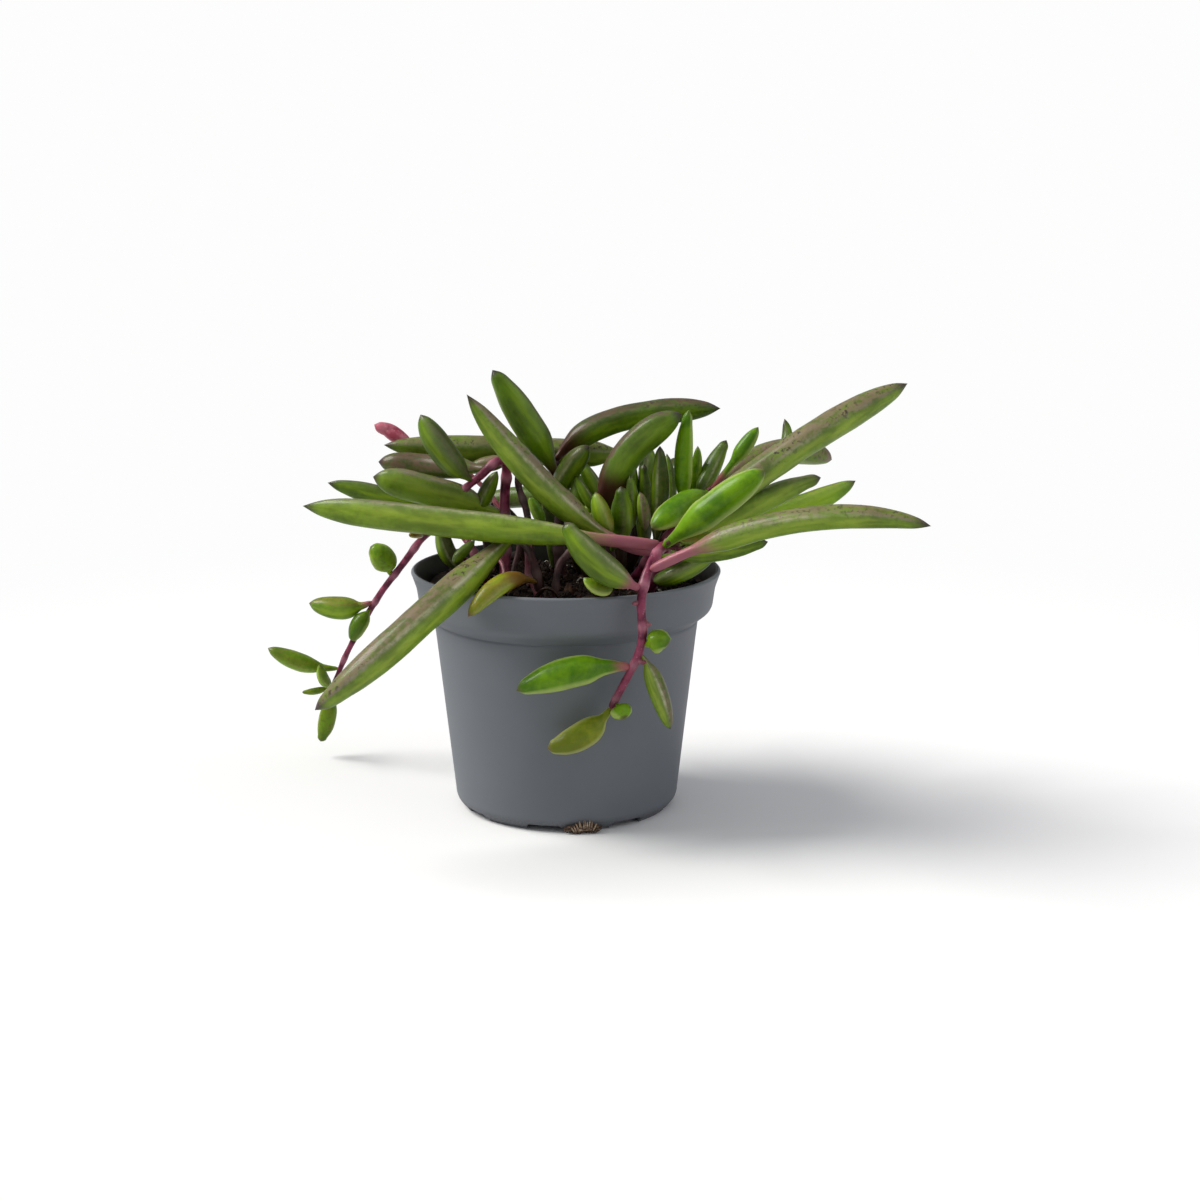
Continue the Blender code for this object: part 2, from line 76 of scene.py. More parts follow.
# Adds one node. Its kind may end in an operation. Inputs come by name or index in a
# dictionary, or as a list that fills the node's live inputs in order. Each is a plain value,
# a socket, or a node whose first live output is meant.
def addNode(tree, kind, inputs=(), **settings):
    kind, _, operation = kind.partition(" ")
    node = tree.nodes.new(kind)
    if operation:
        node.operation = operation
    for key, value in settings.items():
        setattr(node, key, value)
    if isinstance(inputs, dict):
        pairs = [(node.inputs[key], value) for key, value in inputs.items()]
    else:
        pairs = zip([socket for socket in node.inputs if socket.enabled], inputs)
    for socket, value in pairs:
        if isinstance(value, bpy.types.Node):
            value = next(output for output in value.outputs if output.enabled)
        if isinstance(value, bpy.types.NodeSocket):
            tree.links.new(value, socket)
        else:
            socket.default_value = value
    return node


# Starts a geometry tree whose named inputs are (socket type, value) pairs.
def startTree(name, inputs):
    tree = bpy.data.node_groups.new(name, "GeometryNodeTree")
    tree.interface.new_socket("Geometry", in_out="OUTPUT", socket_type="NodeSocketGeometry")
    tree.interface.new_socket("Geometry", in_out="INPUT", socket_type="NodeSocketGeometry")
    for label, (kind, value) in inputs.items():
        socket = tree.interface.new_socket(label, in_out="INPUT",
                                           socket_type="NodeSocket" + kind)
        if value is not None:
            socket.default_value = value
    return tree, partial(addNode, tree), addNode(tree, "NodeGroupInput").outputs


def endTree(tree, geometry, material):
    plain = addNode(tree, "GeometryNodeRealizeInstances", {0: geometry})
    dressed = addNode(tree, "GeometryNodeSetMaterial", {"Geometry": plain, "Material": material})
    addNode(tree, "NodeGroupOutput", {0: dressed})
    return tree


# Runs a tree on a mesh, keeps the result as a plain closed mesh and lets the modifier go.
def grow(name, mesh, tree, values):
    piece = bpy.data.objects.new(name, mesh)
    scene.collection.objects.link(piece)
    modifier = piece.modifiers.new("grow", "NODES")
    modifier.node_group = tree
    for item in tree.interface.items_tree:
        if item.item_type == "SOCKET" and item.in_out == "INPUT" and item.name in values:
            modifier[item.identifier] = values[item.name]
    graph = bpy.context.evaluated_depsgraph_get()
    baked = bpy.data.meshes.new_from_object(piece.evaluated_get(graph),
                                            preserve_all_data_layers=True, depsgraph=graph)
    piece.modifiers.clear()
    piece.data = baked
    build = bmesh.new()
    build.from_mesh(baked)
    if build.calc_volume(signed=True) < 0:
        bmesh.ops.reverse_faces(build, faces=build.faces)
        build.to_mesh(baked)
    build.free()
    baked.name = name
    return piece


def place(piece, slotName, *nodes):
    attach(piece, "root")
    if nodes:
        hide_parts(*nodes)


# Joins small grown pieces into one object.
def gathered(name, pieces):
    build = bmesh.new()
    for piece in pieces:
        build.from_mesh(piece.data)
    for face in build.faces:
        face.material_index = 0
    mesh = bpy.data.meshes.new(name)
    build.to_mesh(mesh)
    build.free()
    mesh.materials.append(pieces[0].data.materials[-1])
    for piece in pieces:
        bpy.data.objects.remove(piece)
    whole = bpy.data.objects.new(name, mesh)
    scene.collection.objects.link(whole)
    return whole


# An open line of points that carries a half width and an upper side for each point.
def guideLine(name, points, halfWidths, uppers):
    mesh = bpy.data.meshes.new(name)
    mesh.from_pydata([tuple(p) for p in points], [(i, i + 1) for i in range(len(points) - 1)], [])
    mesh.attributes.new("halfWidth", "FLOAT", "POINT").data.foreach_set("value", halfWidths)
    flat = [value for upper in uppers for value in upper]
    mesh.attributes.new("upward", "FLOAT_VECTOR", "POINT").data.foreach_set("vector", flat)
    return mesh


# Reads a turned or swept CAD solid back as its rings: their middles and radii, pole to pole.
def ringsOf(node):
    build = bmesh.new()
    build.from_mesh(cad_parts[node].data)
    bmesh.ops.remove_doubles(build, verts=build.verts, dist=0.001 * mm)
    found = None
    for pole in build.verts:
        seen, rings = {pole}, [[pole]]
        while rings[-1]:
            ahead = {edge.other_vert(v) for v in rings[-1] for edge in v.link_edges} - seen
            seen |= ahead
            rings.append(list(ahead))
        rings.pop()
        sizes = [len(ring) for ring in rings]
        if len(sizes) > 4 and sizes[-1] == 1 and len(set(sizes[1:-1])) == 1:
            found = []
            for ring in rings:
                middle = sum((v.co for v in ring), Vector()) / len(ring)
                found.append((middle, sum((v.co - middle).length for v in ring) / len(ring)))
            break
    build.free()
    return found


print("camera, lights and floor")
studio = {
    "cameraPlace": (6.6, -374.0, 119.9),
    "cameraPitch": 12.0,            # degrees below level
    "lens": 58.8,
    "keyStrength": 2.9,
    "keyFrom": (-96.0, 46.0),       # degrees round from the front, degrees up
    "keySpread": 34.0,
    "fillStrength": 0.55,
    "fillFrom": (68.0, 24.0),
    "fillSpread": 60.0,
    "air": 0.34,
    "airLean": (-0.25, 0.0, 0.6),   # the air is a little brighter from above and the left
    "floorRadius": 9000.0,
    "floorFade": (60.0, 300.0),     # where the card turns to plain white, from the pot's axis
}

camera = bpy.data.objects.new("camera", bpy.data.cameras.new("camera"))
scene.collection.objects.link(camera)
camera.data.sensor_width = 36.0
camera.data.lens = studio["lens"]
camera.data.clip_start, camera.data.clip_end = 0.01, 100.0
camera.location = Vector(studio["cameraPlace"]) * mm
camera.rotation_euler = (math.radians(90.0 - studio["cameraPitch"]), 0.0, 0.0)
scene.camera = camera
scene.view_settings.view_transform = "Standard"


def addSun(name, direction, strength, spread, colour):
    lamp = bpy.data.lights.new(name, "SUN")
    lamp.energy = strength
    lamp.angle = math.radians(spread)
    lamp.color = linear(colour)[:3]
    sun = bpy.data.objects.new(name, lamp)
    scene.collection.objects.link(sun)
    turn, rise = (math.radians(angle) for angle in direction)
    towards = Vector((math.sin(turn) * math.cos(rise), -math.cos(turn) * math.cos(rise),
                      math.sin(rise)))
    sun.rotation_mode = "QUATERNION"
    sun.rotation_quaternion = towards.to_track_quat("Z", "Y")


addSun("keyLight", studio["keyFrom"], studio["keyStrength"], studio["keySpread"], "#fffdf8")
addSun("fillLight", studio["fillFrom"], studio["fillStrength"], studio["fillSpread"], "#fbfcff")

# The air is a soft even light, and only what the camera sees directly is white.
world = bpy.data.worlds.new("studioAir")
scene.world = world
world.use_nodes = True
world.node_tree.nodes.clear()
add = partial(addNode, world.node_tree)
rays = add("ShaderNodeLightPath").outputs
seen = add(larger, [rays["Is Camera Ray"], rays["Is Transmission Ray"]])
lean = add(dot, [add("ShaderNodeTexCoord").outputs["Generated"], studio["airLean"]])
sky = add(timesPlus, [lean, studio["air"], 0.8 * studio["air"]])
soft = add("ShaderNodeBackground", {"Color": linear("#f7f8ff"), "Strength": sky})
white = add("ShaderNodeBackground", {"Color": linear("#fdfdfd"), "Strength": 1.0})
add("ShaderNodeOutputWorld", [add("ShaderNodeMixShader", [seen, soft, white])])

# White seamless card: diffuse, so that it keeps the shadow.
card = bpy.data.materials.new("seamlessCard")
card.use_nodes = True
card.node_tree.nodes.clear()
add = partial(addNode, card.node_tree)
lit = add("ShaderNodeBsdfDiffuse", {"Color": linear("#fbfbfb")})
grey = add("ShaderNodeBsdfDiffuse", {"Color": linear("#cfcfd2")})
glow = add("ShaderNodeEmission", {"Color": linear("#fdfdfd"), "Strength": 1.0})
away = add(lengthOf, [add("ShaderNodeTexCoord").outputs["Object"]])
share = add(mapRange, [away, studio["floorFade"][0] * mm, studio["floorFade"][1] * mm, 0.0, 1.0],
            **softly)
shown = add("ShaderNodeMixShader", [share, lit, glow])
seen = add("ShaderNodeLightPath").outputs["Is Camera Ray"]
add("ShaderNodeOutputMaterial", [add("ShaderNodeMixShader", [seen, grey, shown])])
mesh = bpy.data.meshes.new("floor")
build = bmesh.new()
bmesh.ops.create_circle(build, cap_ends=True, segments=64, radius=studio["floorRadius"] * mm)
build.to_mesh(mesh)
build.free()
mesh.materials.append(card)
floor = bpy.data.objects.new("floor", mesh)
scene.collection.objects.link(floor)


print("materials")


# Starts a material and sets the values that are the same all over it.
def startSkin(name, constants):
    material = bpy.data.materials.new(name)
    material.use_nodes = True
    shader = material.node_tree.nodes["Principled BSDF"]
    for key, value in constants.items():
        shader.inputs[key].default_value = value
    add = partial(addNode, material.node_tree)
    return material, add, add("ShaderNodeTexCoord").outputs["Object"]


def endSkin(material, **links):
    shader = material.node_tree.nodes["Principled BSDF"]
    for key, node in links.items():
        output = next(output for output in node.outputs if output.enabled)
        material.node_tree.links.new(output, shader.inputs[key.replace("_", " ")])
    return material


leafPalettes = {
    # Mature blade: dark green inside, a touch of flush on the upper face.
    "matureLeafSkin": {"shade": "#304c00", "body": "#557a01", "light": "#98b626",
                       "flush": "#64503a", "spot": "#2d2019", "margin": "#b0b684",
                       "rim": "#4a3036", "stalk": "#a25c68", "tip": "#36222a"},
    # Blade in full sun: the upper face is purple brown over the green.
    "flushedLeafSkin": {"shade": "#486500", "body": "#6e920e", "light": "#adc445",
                        "flush": "#84705a", "spot": "#362824", "margin": "#c6c69e",
                        "rim": "#553a40", "stalk": "#aa6470", "tip": "#38242c"},
    # Young blade: bright, with a pale clear edge, where painted light stands in for the light that
    # shows through it.
    "youngLeafSkin": {"shade": "#4c7a00", "body": "#74a200", "light": "#b4d236",
                      "flush": "#8f7a30", "spot": "#665424", "margin": "#c4d478",
                      "rim": "#756c42", "stalk": "#a85e62", "tip": "#5a5230"},
    # Mature blade whose foot has gone red brown.
    "duskyLeafSkin": {"shade": "#304c00", "body": "#557a01", "light": "#90b024",
                      "flush": "#5c4634", "spot": "#2d2019", "margin": "#b0b684",
                      "rim": "#4a3036", "stalk": "#4e2c20", "tip": "#36222a"},
    # Young blade turning: yellow with a red streak.
    "turningLeafSkin": {"shade": "#6c800c", "body": "#90a018", "light": "#c2ca4a",
                        "flush": "#99563a", "spot": "#5a3020", "margin": "#ced084",
                        "rim": "#7c5240", "stalk": "#7a591e", "tip": "#6e4a36"},
    # Dead blade low in the crown: thin, brown and dull, and near black, so that it is also painted
    # shade deep in the crown.
    "witheredLeafSkin": {"shade": "#1c120c", "body": "#2e1f17", "light": "#4a3426",
                         "flush": "#3a2820", "spot": "#140d09", "margin": "#5f4836",
                         "rim": "#3c2a22", "stalk": "#3a2523", "tip": "#20150f"},
}
leafFacts = ("flush", "margin", "purple", "fresh", "stalk", "tip", "spots")


# Succulent leaf skin: a waxy cuticle over wet flesh, so a soft gloss with light just under it.
def leafSkin(name, palette):
    colours = {part: linear(value) for part, value in palette.items()}
    material, add, where = startSkin(name, {
        "IOR": 1.36, "Specular IOR Level": 0.35, "Subsurface Weight": 0.16,
        "Subsurface Radius": (0.7, 1.0, 0.1), "Subsurface Scale": 1.2 * mm,
        "Coat Weight": 0.26, "Coat IOR": 1.4, "Coat Roughness": 0.14})
    facts = {label: add(told, attribute_name=label).outputs["Fac"]
             for label in leafFacts + ("along", "faceUp", "faceSide", "travelled")}
    upper = facts["faceUp"]
    # Cloudy tone changes about 7 mm across, and mottling of 1 mm that the flush follows.
    cloud = add(noise, {"Vector": where, "Scale": 1 / (7 * mm), "Detail": 2.0})
    mottle = add(noise, {"Vector": where, "Scale": 1 / (1.1 * mm), "Detail": 3.0,
                         "Roughness": 0.6})
    fleck = add(noise, {"Vector": where, "Scale": 1 / (0.8 * mm), "Detail": 2.5,
                        "Roughness": 0.6})
    # Streaks that run with the blade, about 5 mm long and a millimetre wide.
    run = add(over, [facts["travelled"], 9 * mm])
    lengthways = add(join, [add(times, [upper, 1.3]), add(times, [facts["faceSide"], 1.3]), run])
    streak = add(noise, {"Vector": lengthways, "Scale": 1.9, "Detail": 2.0})
    tone = add(timesPlus, [mottle, 0.4, cloud])
    colour = add(mix, [add(mapRange, [tone, 0.54, 0.86], **softly), colours["shade"],
                       colours["body"]], data_type="RGBA")
    # Light that has passed through the flesh shows along the middle of the lower side.
    under = add(mapRange, [upper, 0.15, -0.5], **softly)
    keel = add(mapRange, [upper, -1.0, -0.7, 0.45, 1.0], **softly)
    lively = add(mapRange, [streak, 0.3, 0.72, 0.35, 0.85], **softly)
    inside = add(mapRange, [facts["along"], 1.0, 0.75, 0.3, 0.8], **softly)
    glowing = add(times, [add(times, [under, keel]), add(times, [lively, inside])])
    colour = add(mix, [glowing, colour, colours["light"]], data_type="RGBA")
    # The flush spreads a little over the margins, uneven at its edge and mottled all over.
    ragged = add(timesPlus, [add(plus, [mottle, streak]), 0.45, upper])
    flushed = add(times, [add(mapRange, [ragged, 0.36, 0.66], **softly), facts["flush"]])
    patchy = add(mapRange, [add(plus, [mottle, streak]), 0.82, 1.12, 0.3, 1.0], **softly)
    colour = add(mix, [add(times, [flushed, patchy]), colour, colours["flush"]], data_type="RGBA")
    flecks = add(times, [add(mapRange, [fleck, 0.53, 0.66], **softly),
                         add(mapRange, [upper, -0.5, 0.3, 0.12, 0.95], **softly)])
    flecks = add(times, [add(times, [flecks, facts["spots"]]),
                         add(mapRange, [cloud, 0.4, 0.58], **softly)])
    colour = add(mix, [flecks, colour, colours["spot"]], data_type="RGBA")
    # The two margins are a paler line, partly their own colour and partly a painted highlight
    # along the ridge; purple where the sun has caught them and near the tip.
    line = add(unsigned, [add(minus, [upper, 0.04])])
    line = add(mapRange, [line, 0.26, 0.0], **softly)
    broken = add(times, [add(mapRange, [mottle, 0.3, 0.6, 0.4, 1.0], **softly),
                         add(mapRange, [streak, 0.35, 0.6, 0.35, 1.0], **softly)])
    line = add(times, [line, broken])
    caught = add(larger, [facts["purple"],
                          add(mapRange, [facts["along"], 0.55, 0.95, 0.0, 0.8], **softly)])
    caught = add(times, [caught, facts["tip"]])
    edge = add(mix, [caught, colours["margin"], colours["rim"]], data_type="RGBA")
    colour = add(mix, [add(times, [line, facts["margin"]]), colour, edge], data_type="RGBA")
    # A young blade is paler towards both edges: painted light that stands in for light showing
    # through its thin clear edges.
    aside = add(unsigned, [facts["faceSide"]])
    clear = add(times, [add(mapRange, [aside, 0.8, 1.0, 0.0, 0.6], **softly), facts["fresh"]])
    colour = add(mix, [clear, colour, colours["margin"]], data_type="RGBA")
    pink = add(minus, [facts["along"], facts["stalk"]])
    pink = add(mapRange, [add(minus, [pink, add(times, [streak, 0.1])]), 0.08, -0.09], **softly)
    colour = add(mix, [pink, colour, colours["stalk"]], data_type="RGBA")
    point = add(times, [add(mapRange, [facts["along"], 0.93, 0.99], **softly), facts["tip"]])
    colour = add(mix, [point, colour, colours["tip"]], data_type="RGBA")
    rough = add(mapRange, [mottle, 0.3, 0.7, 0.34, 0.5])
    # Cells and fine creases of about 0.4 mm, and a slow waviness of the skin.
    fine = add(noise, {"Vector": where, "Scale": 1 / (0.4 * mm), "Detail": 2.0})
    height = add(timesPlus, [fine, 0.35, mottle])
    height = add(timesPlus, [streak, 0.8, height])
    bump = add(bumps, {"Height": height, "Strength": 0.3, "Distance": 0.12 * mm})
    return endSkin(material, Base_Color=colour, Roughness=rough, Normal=bump)


leafSkins = {name: leafSkin(name, palette) for name, palette in leafPalettes.items()}
skinOfSlot = {"leaf_deep": "matureLeafSkin", "leaf_flushed": "flushedLeafSkin",
              "leaf_bright": "youngLeafSkin"}
slotOfSkin = {skin: slot for slot, skin in skinOfSlot.items()}
slotOfSkin.update(witheredLeafSkin="leaf_deep", duskyLeafSkin="leaf_deep",
                  turningLeafSkin="leaf_bright")


# Fleshy bark of a stem: streaked along, paler at its swollen rings, with pale pores.
def stemSkin(name, dark, body, pale, rough):
    material, add, where = startSkin(name, {
        "IOR": 1.4, "Specular IOR Level": 0.45, "Subsurface Weight": 0.12, "Roughness": rough,
        "Subsurface Radius": (1.0, 0.3, 0.4), "Subsurface Scale": 0.6 * mm})
    streak = add(noise, {"Vector": where, "Scale": 1 / (2.2 * mm), "Detail": 3.0})
    pores = add(cells, {"Vector": where, "Scale": 1 / (0.9 * mm)})
    colour = add(mix, [add(mapRange, [streak, 0.36, 0.62], **softly), linear(dark),
                       linear(body)], data_type="RGBA")
    # The pores are 0.3 mm across, about one to a millimetre.
    pore = add(times, [add(mapRange, [pores, 0.22, 0.1], **softly), 0.4])
    ring = add(times, [add(told, attribute_name="ring").outputs["Fac"], 0.4])
    colour = add(mix, [add(larger, [pore, ring]), colour, linear(pale)], data_type="RGBA")
    bump = add(bumps, {"Height": streak, "Strength": 0.4, "Distance": 0.15 * mm})
    return endSkin(material, Base_Color=colour, Normal=bump)


# Young bark is smooth, wet-looking magenta; old bark is brown and dull; petals are dusty pink.
youngStem = stemSkin("youngStemBark", "#5c1230", "#943f5a", "#cf93a1", 0.34)
oldStem = stemSkin("oldStemBark", "#2b1717", "#4a2a2c", "#7c645e", 0.6)
petiolePink = stemSkin("petioleFlesh", "#7c3c4a", "#a0606a", "#d0a6aa", 0.38)
budPetal = stemSkin("budPetal", "#b0485c", "#d07888", "#f0bcc2", 0.5)
dryFibre = stemSkin("dryLeafFibre", "#3a261d", "#614433", "#947a62", 0.7)


# Injection moulded polypropylene: even grey, satin, with the faint grain of the mould.
def mouldedPlastic():
    material, add, where = startSkin("mouldedPolypropylene", {"IOR": 1.49,
                                                              "Specular IOR Level": 0.4})
    cloud = add(noise, {"Vector": where, "Scale": 1 / (14 * mm), "Detail": 3.0})
    grain = add(noise, {"Vector": where, "Scale": 1 / (0.35 * mm), "Detail": 2.0})
    colour = add(mix, [cloud, linear("#6c7176"), linear("#777b80")], data_type="RGBA")
    # Peat dust clings round the foot.
    high = add(split, [where]).outputs["Z"]
    foot = add(mapRange, [high, 3.0 * mm, 0.5 * mm, 0.0, 0.5], **softly)
    dust = add(times, [foot, add(mapRange, [grain, 0.42, 0.62], **softly)])
    colour = add(mix, [dust, colour, linear("#4c4038")], data_type="RGBA")
    # Painted shade: the inner sides of the wall and of the foot ring, which face the axis, are
    # darkened almost to black.
    level = add(split, [where]).outputs
    radial = add(join, [level["X"], level["Y"]])
    facing = add(dot, [add(unit, [radial]), add("ShaderNodeNewGeometry").outputs["Normal"]])
    inner = add(mapRange, [facing, -0.1, -0.6, 0.0, 0.92], **softly)
    colour = add(mix, [inner, colour, linear("#1b1512")], data_type="RGBA")
    rough = add(mapRange, [cloud, 0.3, 0.7, 0.42, 0.52])
    bump = add(bumps, {"Height": grain, "Strength": 0.12, "Distance": 0.05 * mm})
    return endSkin(material, Base_Color=colour, Roughness=rough, Normal=bump)


# Crumbly matter in three tones that differ at random; as the colour follows the bump's grain, the
# dark tone is also painted shade in its hollows and the pale tone painted light on its crests.
def crumbSkin(name, dark, body, pale, size, rough):
    material, add, where = startSkin(name, {"IOR": 1.4, "Specular IOR Level": 0.3,
                                            "Roughness": rough})
    grain = add(noise, {"Vector": where, "Scale": 1 / (size * mm), "Detail": 4.0,
                        "Roughness": 0.65})
    colour = add(mix, [add(mapRange, [grain, 0.36, 0.56]), linear(dark), linear(body)],
                 data_type="RGBA")
    colour = add(mix, [add(mapRange, [grain, 0.56, 0.74]), colour, linear(pale)],
                 data_type="RGBA")
    bump = add(bumps, {"Height": grain, "Strength": 0.8, "Distance": 0.3 * mm})
    return endSkin(material, Base_Color=colour, Normal=bump)


potPlastic = mouldedPlastic()
# Damp peat drinks the light, perlite is chalky, bark and roots are dull and dry.
peat = crumbSkin("dampPeat", "#0f0907", "#241710", "#3f2a1e", 1.6, 0.9)
perliteGrain = crumbSkin("perliteGrain", "#7b7468", "#a29b8f", "#cfc8bb", 0.8, 0.85)
barkChip = crumbSkin("barkChip", "#24160f", "#40291b", "#5f422e", 1.1, 0.8)
dryRoot = crumbSkin("dryRootFibre", "#7c6450", "#b89f84", "#eadcc6", 0.9, 0.45)
rootMatFibre = crumbSkin("rootMatFibre", "#3a2d25", "#74604f", "#ab9682", 0.5, 0.85)


print("pot")
pot = {
    "columns": 360, "lipRadius": 30.0, "lipRound": 0.5, "height": 47.0,
    "collarRadius": 28.5, "collarFlare": 0.5, "collarTop": 43.6, "collarBottom": 40.0,
    "shoulderRound": 0.9, "shoulderBottom": 37.3, "crease": 0.2,
    "bodyTop": 25.7, "bodyBottom": 21.9,
    "cornerRound": 3.0, "cornerSweep": 62.0, "wall": 1.0, "footWidth": 1.5, "footHeight": 1.4,
    "floorRadius": 17.8, "floorRound": 2.0,
    "notches": 8, "notchWidth": 6.6, "notchHeight": 1.3, "notchTurn": -11.0,
    "notchEdge": 0.2,       # half the width over which a notch's side rises
    "drains": 4, "drainRadius": 2.4, "drainCircle": 11.0, "drainTurn": 45.0, "drillDepth": 6.0,
}


def arc(centre, radius, start, end, steps):
    return [(centre[0] + radius * math.cos(math.radians(start + (end - start) * i / steps)),
             centre[1] + radius * math.sin(math.radians(start + (end - start) * i / steps)))
            for i in range(steps + 1)]


# Rounds the corners of an open line of (radius, height) points.
def rounded(points, size, steps=4):
    done = [points[0]]
    for before, here, after in zip(points, points[1:], points[2:]):
        a, b, c = Vector(before), Vector(here), Vector(after)
        reach = min(size, 0.45 * (a - b).length, 0.45 * (c - b).length)
        start, end = b + (a - b).normalized() * reach, b + (c - b).normalized() * reach
        for i in range(steps + 1):
            t = i / steps
            done.append(tuple(start * (1 - t) ** 2 + b * 2 * t * (1 - t) + end * t * t))
    return done + [points[-1]]


def potProfile():
    p = pot
    lipCentre = (p["lipRadius"] - p["lipRound"], p["height"] - p["lipRound"])
    corner = (p["bodyBottom"] - p["cornerRound"], p["cornerRound"])
    footOuter = corner[0] + p["cornerRound"] * math.cos(math.radians(p["cornerSweep"]))
    footInner = footOuter - p["footWidth"]
    inner = p["footHeight"] + p["wall"]
    lean = (p["bodyTop"] - p["bodyBottom"]) / (p["shoulderBottom"] - p["cornerRound"])
    # The lip, the collar and the shoulder, with a hairline crease where the body begins.
    outer = arc(lipCentre, p["lipRound"], 90, -40, 7)
    outer += rounded([outer[-1], (p["collarRadius"] + p["collarFlare"], p["collarTop"]),
                      (p["collarRadius"], p["collarBottom"]),
                      (p["collarRadius"] - p["collarFlare"],
                       p["collarBottom"] - p["shoulderRound"]),
                      (p["bodyTop"] + 0.15, p["shoulderBottom"] + 0.15),
                      (p["bodyTop"] - p["crease"], p["shoulderBottom"] - 0.05),
                      (p["bodyTop"] - 0.02, p["shoulderBottom"] - 0.45),
                      (p["bodyTop"] - 4 * lean, p["shoulderBottom"] - 4)], 0.7)[1:]
    # The body's even slope, the round of the foot, the foot ring and the recess inside it.
    outer += [(p["bodyTop"] - lean * drop, p["shoulderBottom"] - drop)
              for drop in range(8, 34, 4)]
    outer += arc(corner, p["cornerRound"], 0, -p["cornerSweep"], 10)
    outer += rounded([outer[-1], (footOuter, 0.0), (footInner, 0.0),
                      (footInner, p["footHeight"]), (footInner - 2, p["footHeight"])], 0.25, 2)[1:]
    outer += [(radius, p["footHeight"]) for radius in (13.8, 8.0, 3.0, 0.0)]
    # The floor and the wall's inner side, back up to the lip.
    back = [(0.0, inner), (p["floorRadius"] - 4, inner)]
    back += rounded([back[-1], (p["floorRadius"], inner),
                     (p["bodyBottom"] + lean - p["wall"], inner + p["floorRound"]),
                     (p["bodyTop"] - p["wall"], p["shoulderBottom"]),
                     (p["collarRadius"] - p["wall"], p["collarBottom"]),
                     (p["collarRadius"] - p["wall"] + p["collarFlare"], p["collarTop"])], 0.6)[1:]
    back += arc(lipCentre, p["lipRound"], -210, -270, 5)[:-1]
    return outer + back


# Wraps a line of (radius, height) points round the Z axis, lifts the foot at even turns for
# the notches and drills the floor.
def potTree():
    tree, add, given = startTree("mouldedPotTree", {
        "Columns": ("Int", pot["columns"]), "Notches": ("Int", pot["notches"]),
        "Notch Width": ("Float", 0.0), "Notch Height": ("Float", 0.0),
        "Notch Turn": ("Float", 0.0), "Drains": ("Int", pot["drains"]),
        "Drain Radius": ("Float", 0.0), "Drain Circle": ("Float", 0.0),
        "Floor Height": ("Float", 0.0), "Material": ("Material", None)})
    count = add("GeometryNodeAttributeDomainSize", {0: given["Geometry"]}).outputs[0]
    grid = add("GeometryNodeMeshGrid", {"Size X": 1.0, "Size Y": 1.0, "Vertices Y": count,
                                        "Vertices X": add(plus, [given["Columns"], 1.0])})
    at = add(split, [add(position)]).outputs
    turn = add(times, [add(plus, [at[0], 0.5]), 2 * math.pi])
    row = add(times, [add(plus, [at[1], 0.5]), add(minus, [count, 1.0])])
    row = add("FunctionNodeFloatToInt", [row], rounding_mode="ROUND")
    point = add("GeometryNodeSampleIndex", [given["Geometry"], add(position), row],
                data_type="FLOAT_VECTOR")
    profile = add(split, [point]).outputs
    pitch = add(over, [2 * math.pi, given["Notches"]])
    offset = add(pingPong, [add(minus, [turn, given["Notch Turn"]]), add(times, [pitch, 0.5])])
    reach = add(times, [profile[0], add(sine, [offset])])
    beyond = add(timesPlus, [given["Notch Width"], -0.5, reach])
    edge = pot["notchEdge"] * mm
    lift = add(mapRange, [beyond, edge, -edge, 0.0, given["Notch Height"]], **softly)
    back = add(times, [profile[0], -1.0])
    spot = add(join, [add(times, [profile[0], add(sine, [turn])]),
                      add(times, [back, add(cosine, [turn])]), add(larger, [profile[2], lift])])
    wrapped = add("GeometryNodeSetPosition", {0: grid, "Position": spot})
    closed = add("GeometryNodeMergeByDistance", {0: wrapped, "Distance": 0.001 * mm})
    circle = add("GeometryNodeMeshCircle", {"Vertices": given["Drains"],
                                            "Radius": given["Drain Circle"]})
    drill = add("GeometryNodeMeshCylinder", {"Vertices": 40, "Radius": given["Drain Radius"],
                                             "Depth": pot["drillDepth"] * mm})
    drills = add("GeometryNodeInstanceOnPoints", {0: circle, "Instance": drill})
    drills = add("GeometryNodeTransform",
                 {0: drills, "Translation": add(join, [0.0, 0.0, given["Floor Height"]]),
                  "Rotation": (0.0, 0.0, math.radians(pot["drainTurn"]))})
    drilled = add("GeometryNodeMeshBoolean",
                  [closed, add("GeometryNodeRealizeInstances", {0: drills})],
                  operation="DIFFERENCE", solver="EXACT")
    return endTree(tree, add("GeometryNodeSetShadeSmooth", {0: drilled}), given["Material"])


line = bpy.data.meshes.new("potProfile")
line.from_pydata([(radius * mm, 0.0, height * mm) for radius, height in potProfile()], [], [])
mouldedPot = grow("moulded-pot", line, potTree(), {
    "Columns": pot["columns"], "Notches": pot["notches"],
    "Notch Width": pot["notchWidth"] * mm, "Notch Height": pot["notchHeight"] * mm,
    "Notch Turn": math.radians(pot["notchTurn"]), "Drains": pot["drains"],
    "Drain Radius": pot["drainRadius"] * mm, "Drain Circle": pot["drainCircle"] * mm,
    "Floor Height": pot["footHeight"] * mm, "Material": potPlastic})
mouldedPot.data.set_sharp_from_angle(angle=math.radians(38.0))
place(mouldedPot, "pot_plastic", "pot")


print("leaves")
leafShape = {
    "rows": 46, "around": 24, "sink": 0.9, "rippleSize": 6.0, "smoothing": 12,
    "crowding": 0.115,      # rows move towards both ends by up to this share of the length
    # How far the section reaches, from the middle of the upper face to the keel. A curve
    # node holds values up to one, so there they are divided by the span.
    "span": 1.25,
    "section": ((0.0, 0.93), (0.2, 0.93), (0.36, 0.98), (0.44, 1.03), (0.5, 1.07), (0.56, 1.02),
                (0.68, 0.96), (0.82, 0.95), (0.93, 1.0), (1.0, 1.03)),
}


